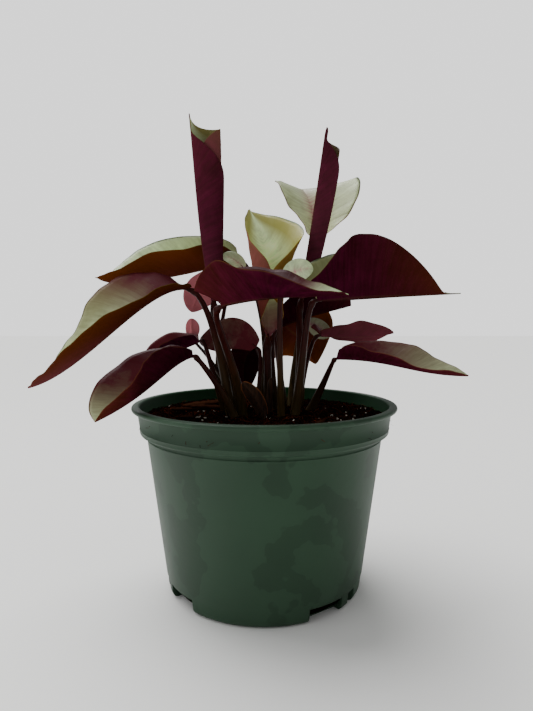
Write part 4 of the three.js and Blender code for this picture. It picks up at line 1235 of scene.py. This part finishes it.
class CALATHEA_OT_remains(bpy.types.Operator):
    """Builds the dried sheath and the cut stub at the foot of the clump"""
    bl_idname = "calathea.build_remains"
    bl_label = "Build dried remains"

    def execute(self, context):
        settings = context.scene.calathea_leaves
        finish = husk_finish()
        sheath = new_piece("dried_sheath_husk", **blade_mesh(SHEATH, settings, SHEATH_SEED))
        sheath.data.materials.append(finish)
        sheath.data.materials.append(finish)
        hand_over(sheath, "dry_husk", "dried_sheath")
        root = (*STUB["root"], SOIL_LEVEL - ROOT_DEPTH)
        foot = (*STUB["foot"], SOIL_LEVEL)
        steps = np.linspace(0, 1, STUB["steps"])
        path, _ = curve_at(curve_through((root, foot, STUB["mid"], STUB["top"])), steps)
        radii = np.interp(steps, *zip(*STUB["radii"]))
        stub = sweep("cut_stub_stem", path, radii, sweep_tree(), finish)
        hand_over(stub, "dry_husk", "cut_stub")
        return {"FINISHED"}


class CALATHEA_OT_pot(bpy.types.Operator):
    """Builds the nursery pot with its rolled lip, collar and drain slots"""
    bl_idname = "calathea.build_pot"
    bl_label = "Build pot"

    def execute(self, context):
        settings = context.scene.calathea_pot
        piece = new_piece("nursery_pot", *lathe(pot_profile(), settings.segments))
        cut_slots(piece)
        piece.data.materials.clear()
        piece.data.materials.append(pot_finish(settings))
        hand_over(piece, "pot_plastic", "pot")
        return {"FINISHED"}


class CALATHEA_OT_soil(bpy.types.Operator):
    """Builds the crumbly soil surface with peat crumbs, perlite, fibres and bark"""
    bl_idname = "calathea.build_soil"
    bl_label = "Build soil"

    def execute(self, context):
        settings = context.scene.calathea_soil
        peat = grain_finish("damp_peat", settings.colour, linear("#361a10"), 0.85, PEAT_GRIT)
        perlite = grain_finish("expanded_perlite", linear("#8f8a80"), linear("#c9c4b8"), 0.9, PERLITE_GRIT)
        fibre = grain_finish("bark_fibre", linear("#1c0b06"), linear("#6e3218"), 0.8, FIBRE_GRIT)
        bark = grain_finish("composted_bark", linear("#301a10"), linear("#94603c"), 0.75, BARK_GRIT)
        surface = new_piece("soil_surface", *soil_surface(), smooth=False)
        surface.data.materials.append(peat)
        grains = scatter_tree("scatter_grains", lump)
        fibres = scatter_tree("scatter_fibres", thread)
        sorts = [
            ("soil_crumbs", grains, dict(Finish=peat, Density=settings.crumb_density, Size=settings.crumb,
                                         Flatness=0.7, Fineness=1)),
            ("soil_perlite", grains, dict(Finish=perlite, Density=settings.perlite_density,
                                          Size=settings.perlite, Flatness=0.85, Fineness=2)),
            ("soil_fibres", fibres, dict(Finish=fibre, Density=settings.fibre_density,
                                         Size=settings.fibre, Flatness=0.6, Tilt=0.45)),
        ]
        for number, (name, tree, values) in enumerate(sorts):
            piece = grow(name, surface, tree, dict(values, Seed=settings.seed + number))
            hand_over(piece, "potting_soil")
        hand_over(surface, "potting_soil")
        for number, (centre, size, heading, tilt) in enumerate(BARK_CHIPS):
            chip = new_piece(f"bark_chip_{number + 1}", *bark_chip(centre, size, heading, tilt, number))
            chip.data.materials.append(bark)
            hand_over(chip, "potting_soil")
        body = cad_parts["soil"].data
        body.materials.clear()
        body.materials.append(peat)
        return {"FINISHED"}


class CALATHEA_OT_studio(bpy.types.Operator):
    """Sets up the camera, the pale floor and the soft light"""
    bl_idname = "calathea.build_studio"
    bl_label = "Build studio"

    def execute(self, context):
        settings = context.scene.calathea_studio
        scene = context.scene
        camera = bpy.data.objects.new("camera", bpy.data.cameras.new("camera"))
        camera.data.sensor_fit = "VERTICAL"
        camera.data.lens = camera.data.sensor_height * settings.focal_pixels / PHOTO_SIZE[1]
        camera.data.clip_start = 0.01
        camera.location = (settings.aside, -settings.distance, settings.height)
        camera.rotation_euler = (math.pi / 2 - settings.pitch, 0, 0)
        scene.collection.objects.link(camera)
        scene.camera = camera
        corners = [(x * FLOOR_REACH, y * FLOOR_REACH, 0) for x, y in ((-1, -1), (1, -1), (1, 1), (-1, 1))]
        floor = new_piece("floor", corners, [(0, 1, 2, 3)], smooth=False)
        floor.data.materials.append(floor_finish(settings))
        key = add_light("key", "AREA", KEY_LIGHT["place"], settings.key_power)
        key.size = KEY_LIGHT["size"]
        top = add_light("top", "SUN", TOP_LIGHT["place"], settings.top_strength)
        top.angle = TOP_LIGHT["spread"]
        world = bpy.data.worlds.new("white_surroundings")
        world.use_nodes = True
        world.node_tree.nodes.clear()
        n = partial(add_node, world.node_tree)
        seen = n("ShaderNodeLightPath", output="Is Camera Ray")
        strength = n("ShaderNodeMapRange", {"Value": seen, "To Min": settings.sky,
                                            "To Max": settings.backdrop})
        white = n("ShaderNodeBackground", {"Color": (1, 1, 1, 1), "Strength": strength})
        n("ShaderNodeOutputWorld", {"Surface": white})
        scene.world = world
        return {"FINISHED"}


class CALATHEA_PT_panel(bpy.types.Panel):
    """Lists the building steps and their settings"""
    bl_label = "Potted calathea"
    bl_idname = "CALATHEA_PT_panel"
    bl_space_type = "VIEW_3D"
    bl_region_type = "UI"
    bl_category = "Calathea"

    def draw(self, context):
        for operator in OPERATORS:
            self.layout.operator(operator.bl_idname)
        for label in SETTINGS:
            settings = getattr(context.scene, label)
            box = self.layout.box()
            for name in settings.__annotations__:
                box.prop(settings, name)


OPERATORS = (
    CALATHEA_OT_studio, CALATHEA_OT_pot, CALATHEA_OT_soil, CALATHEA_OT_blades, CALATHEA_OT_stalks,
    CALATHEA_OT_remains,
)
SETTINGS = {
    "calathea_leaves": LeafSettings, "calathea_pot": PotSettings, "calathea_soil": SoilSettings,
    "calathea_studio": StudioSettings,
}


def register():
    for new_class in (*SETTINGS.values(), *OPERATORS, CALATHEA_PT_panel):
        bpy.utils.register_class(new_class)
    for label, settings in SETTINGS.items():
        setattr(bpy.types.Scene, label, bpy.props.PointerProperty(type=settings))


def unregister():
    for label in SETTINGS:
        delattr(bpy.types.Scene, label)
    for old_class in (CALATHEA_PT_panel, *reversed(OPERATORS), *reversed(SETTINGS.values())):
        bpy.utils.unregister_class(old_class)


def main():
    register()
    bpy.ops.calathea.build_studio()
    bpy.ops.calathea.build_pot()
    bpy.ops.calathea.build_soil()
    bpy.ops.calathea.build_blades()
    bpy.ops.calathea.build_stalks()
    bpy.ops.calathea.build_remains()


if __name__ == "__main__":
    main()
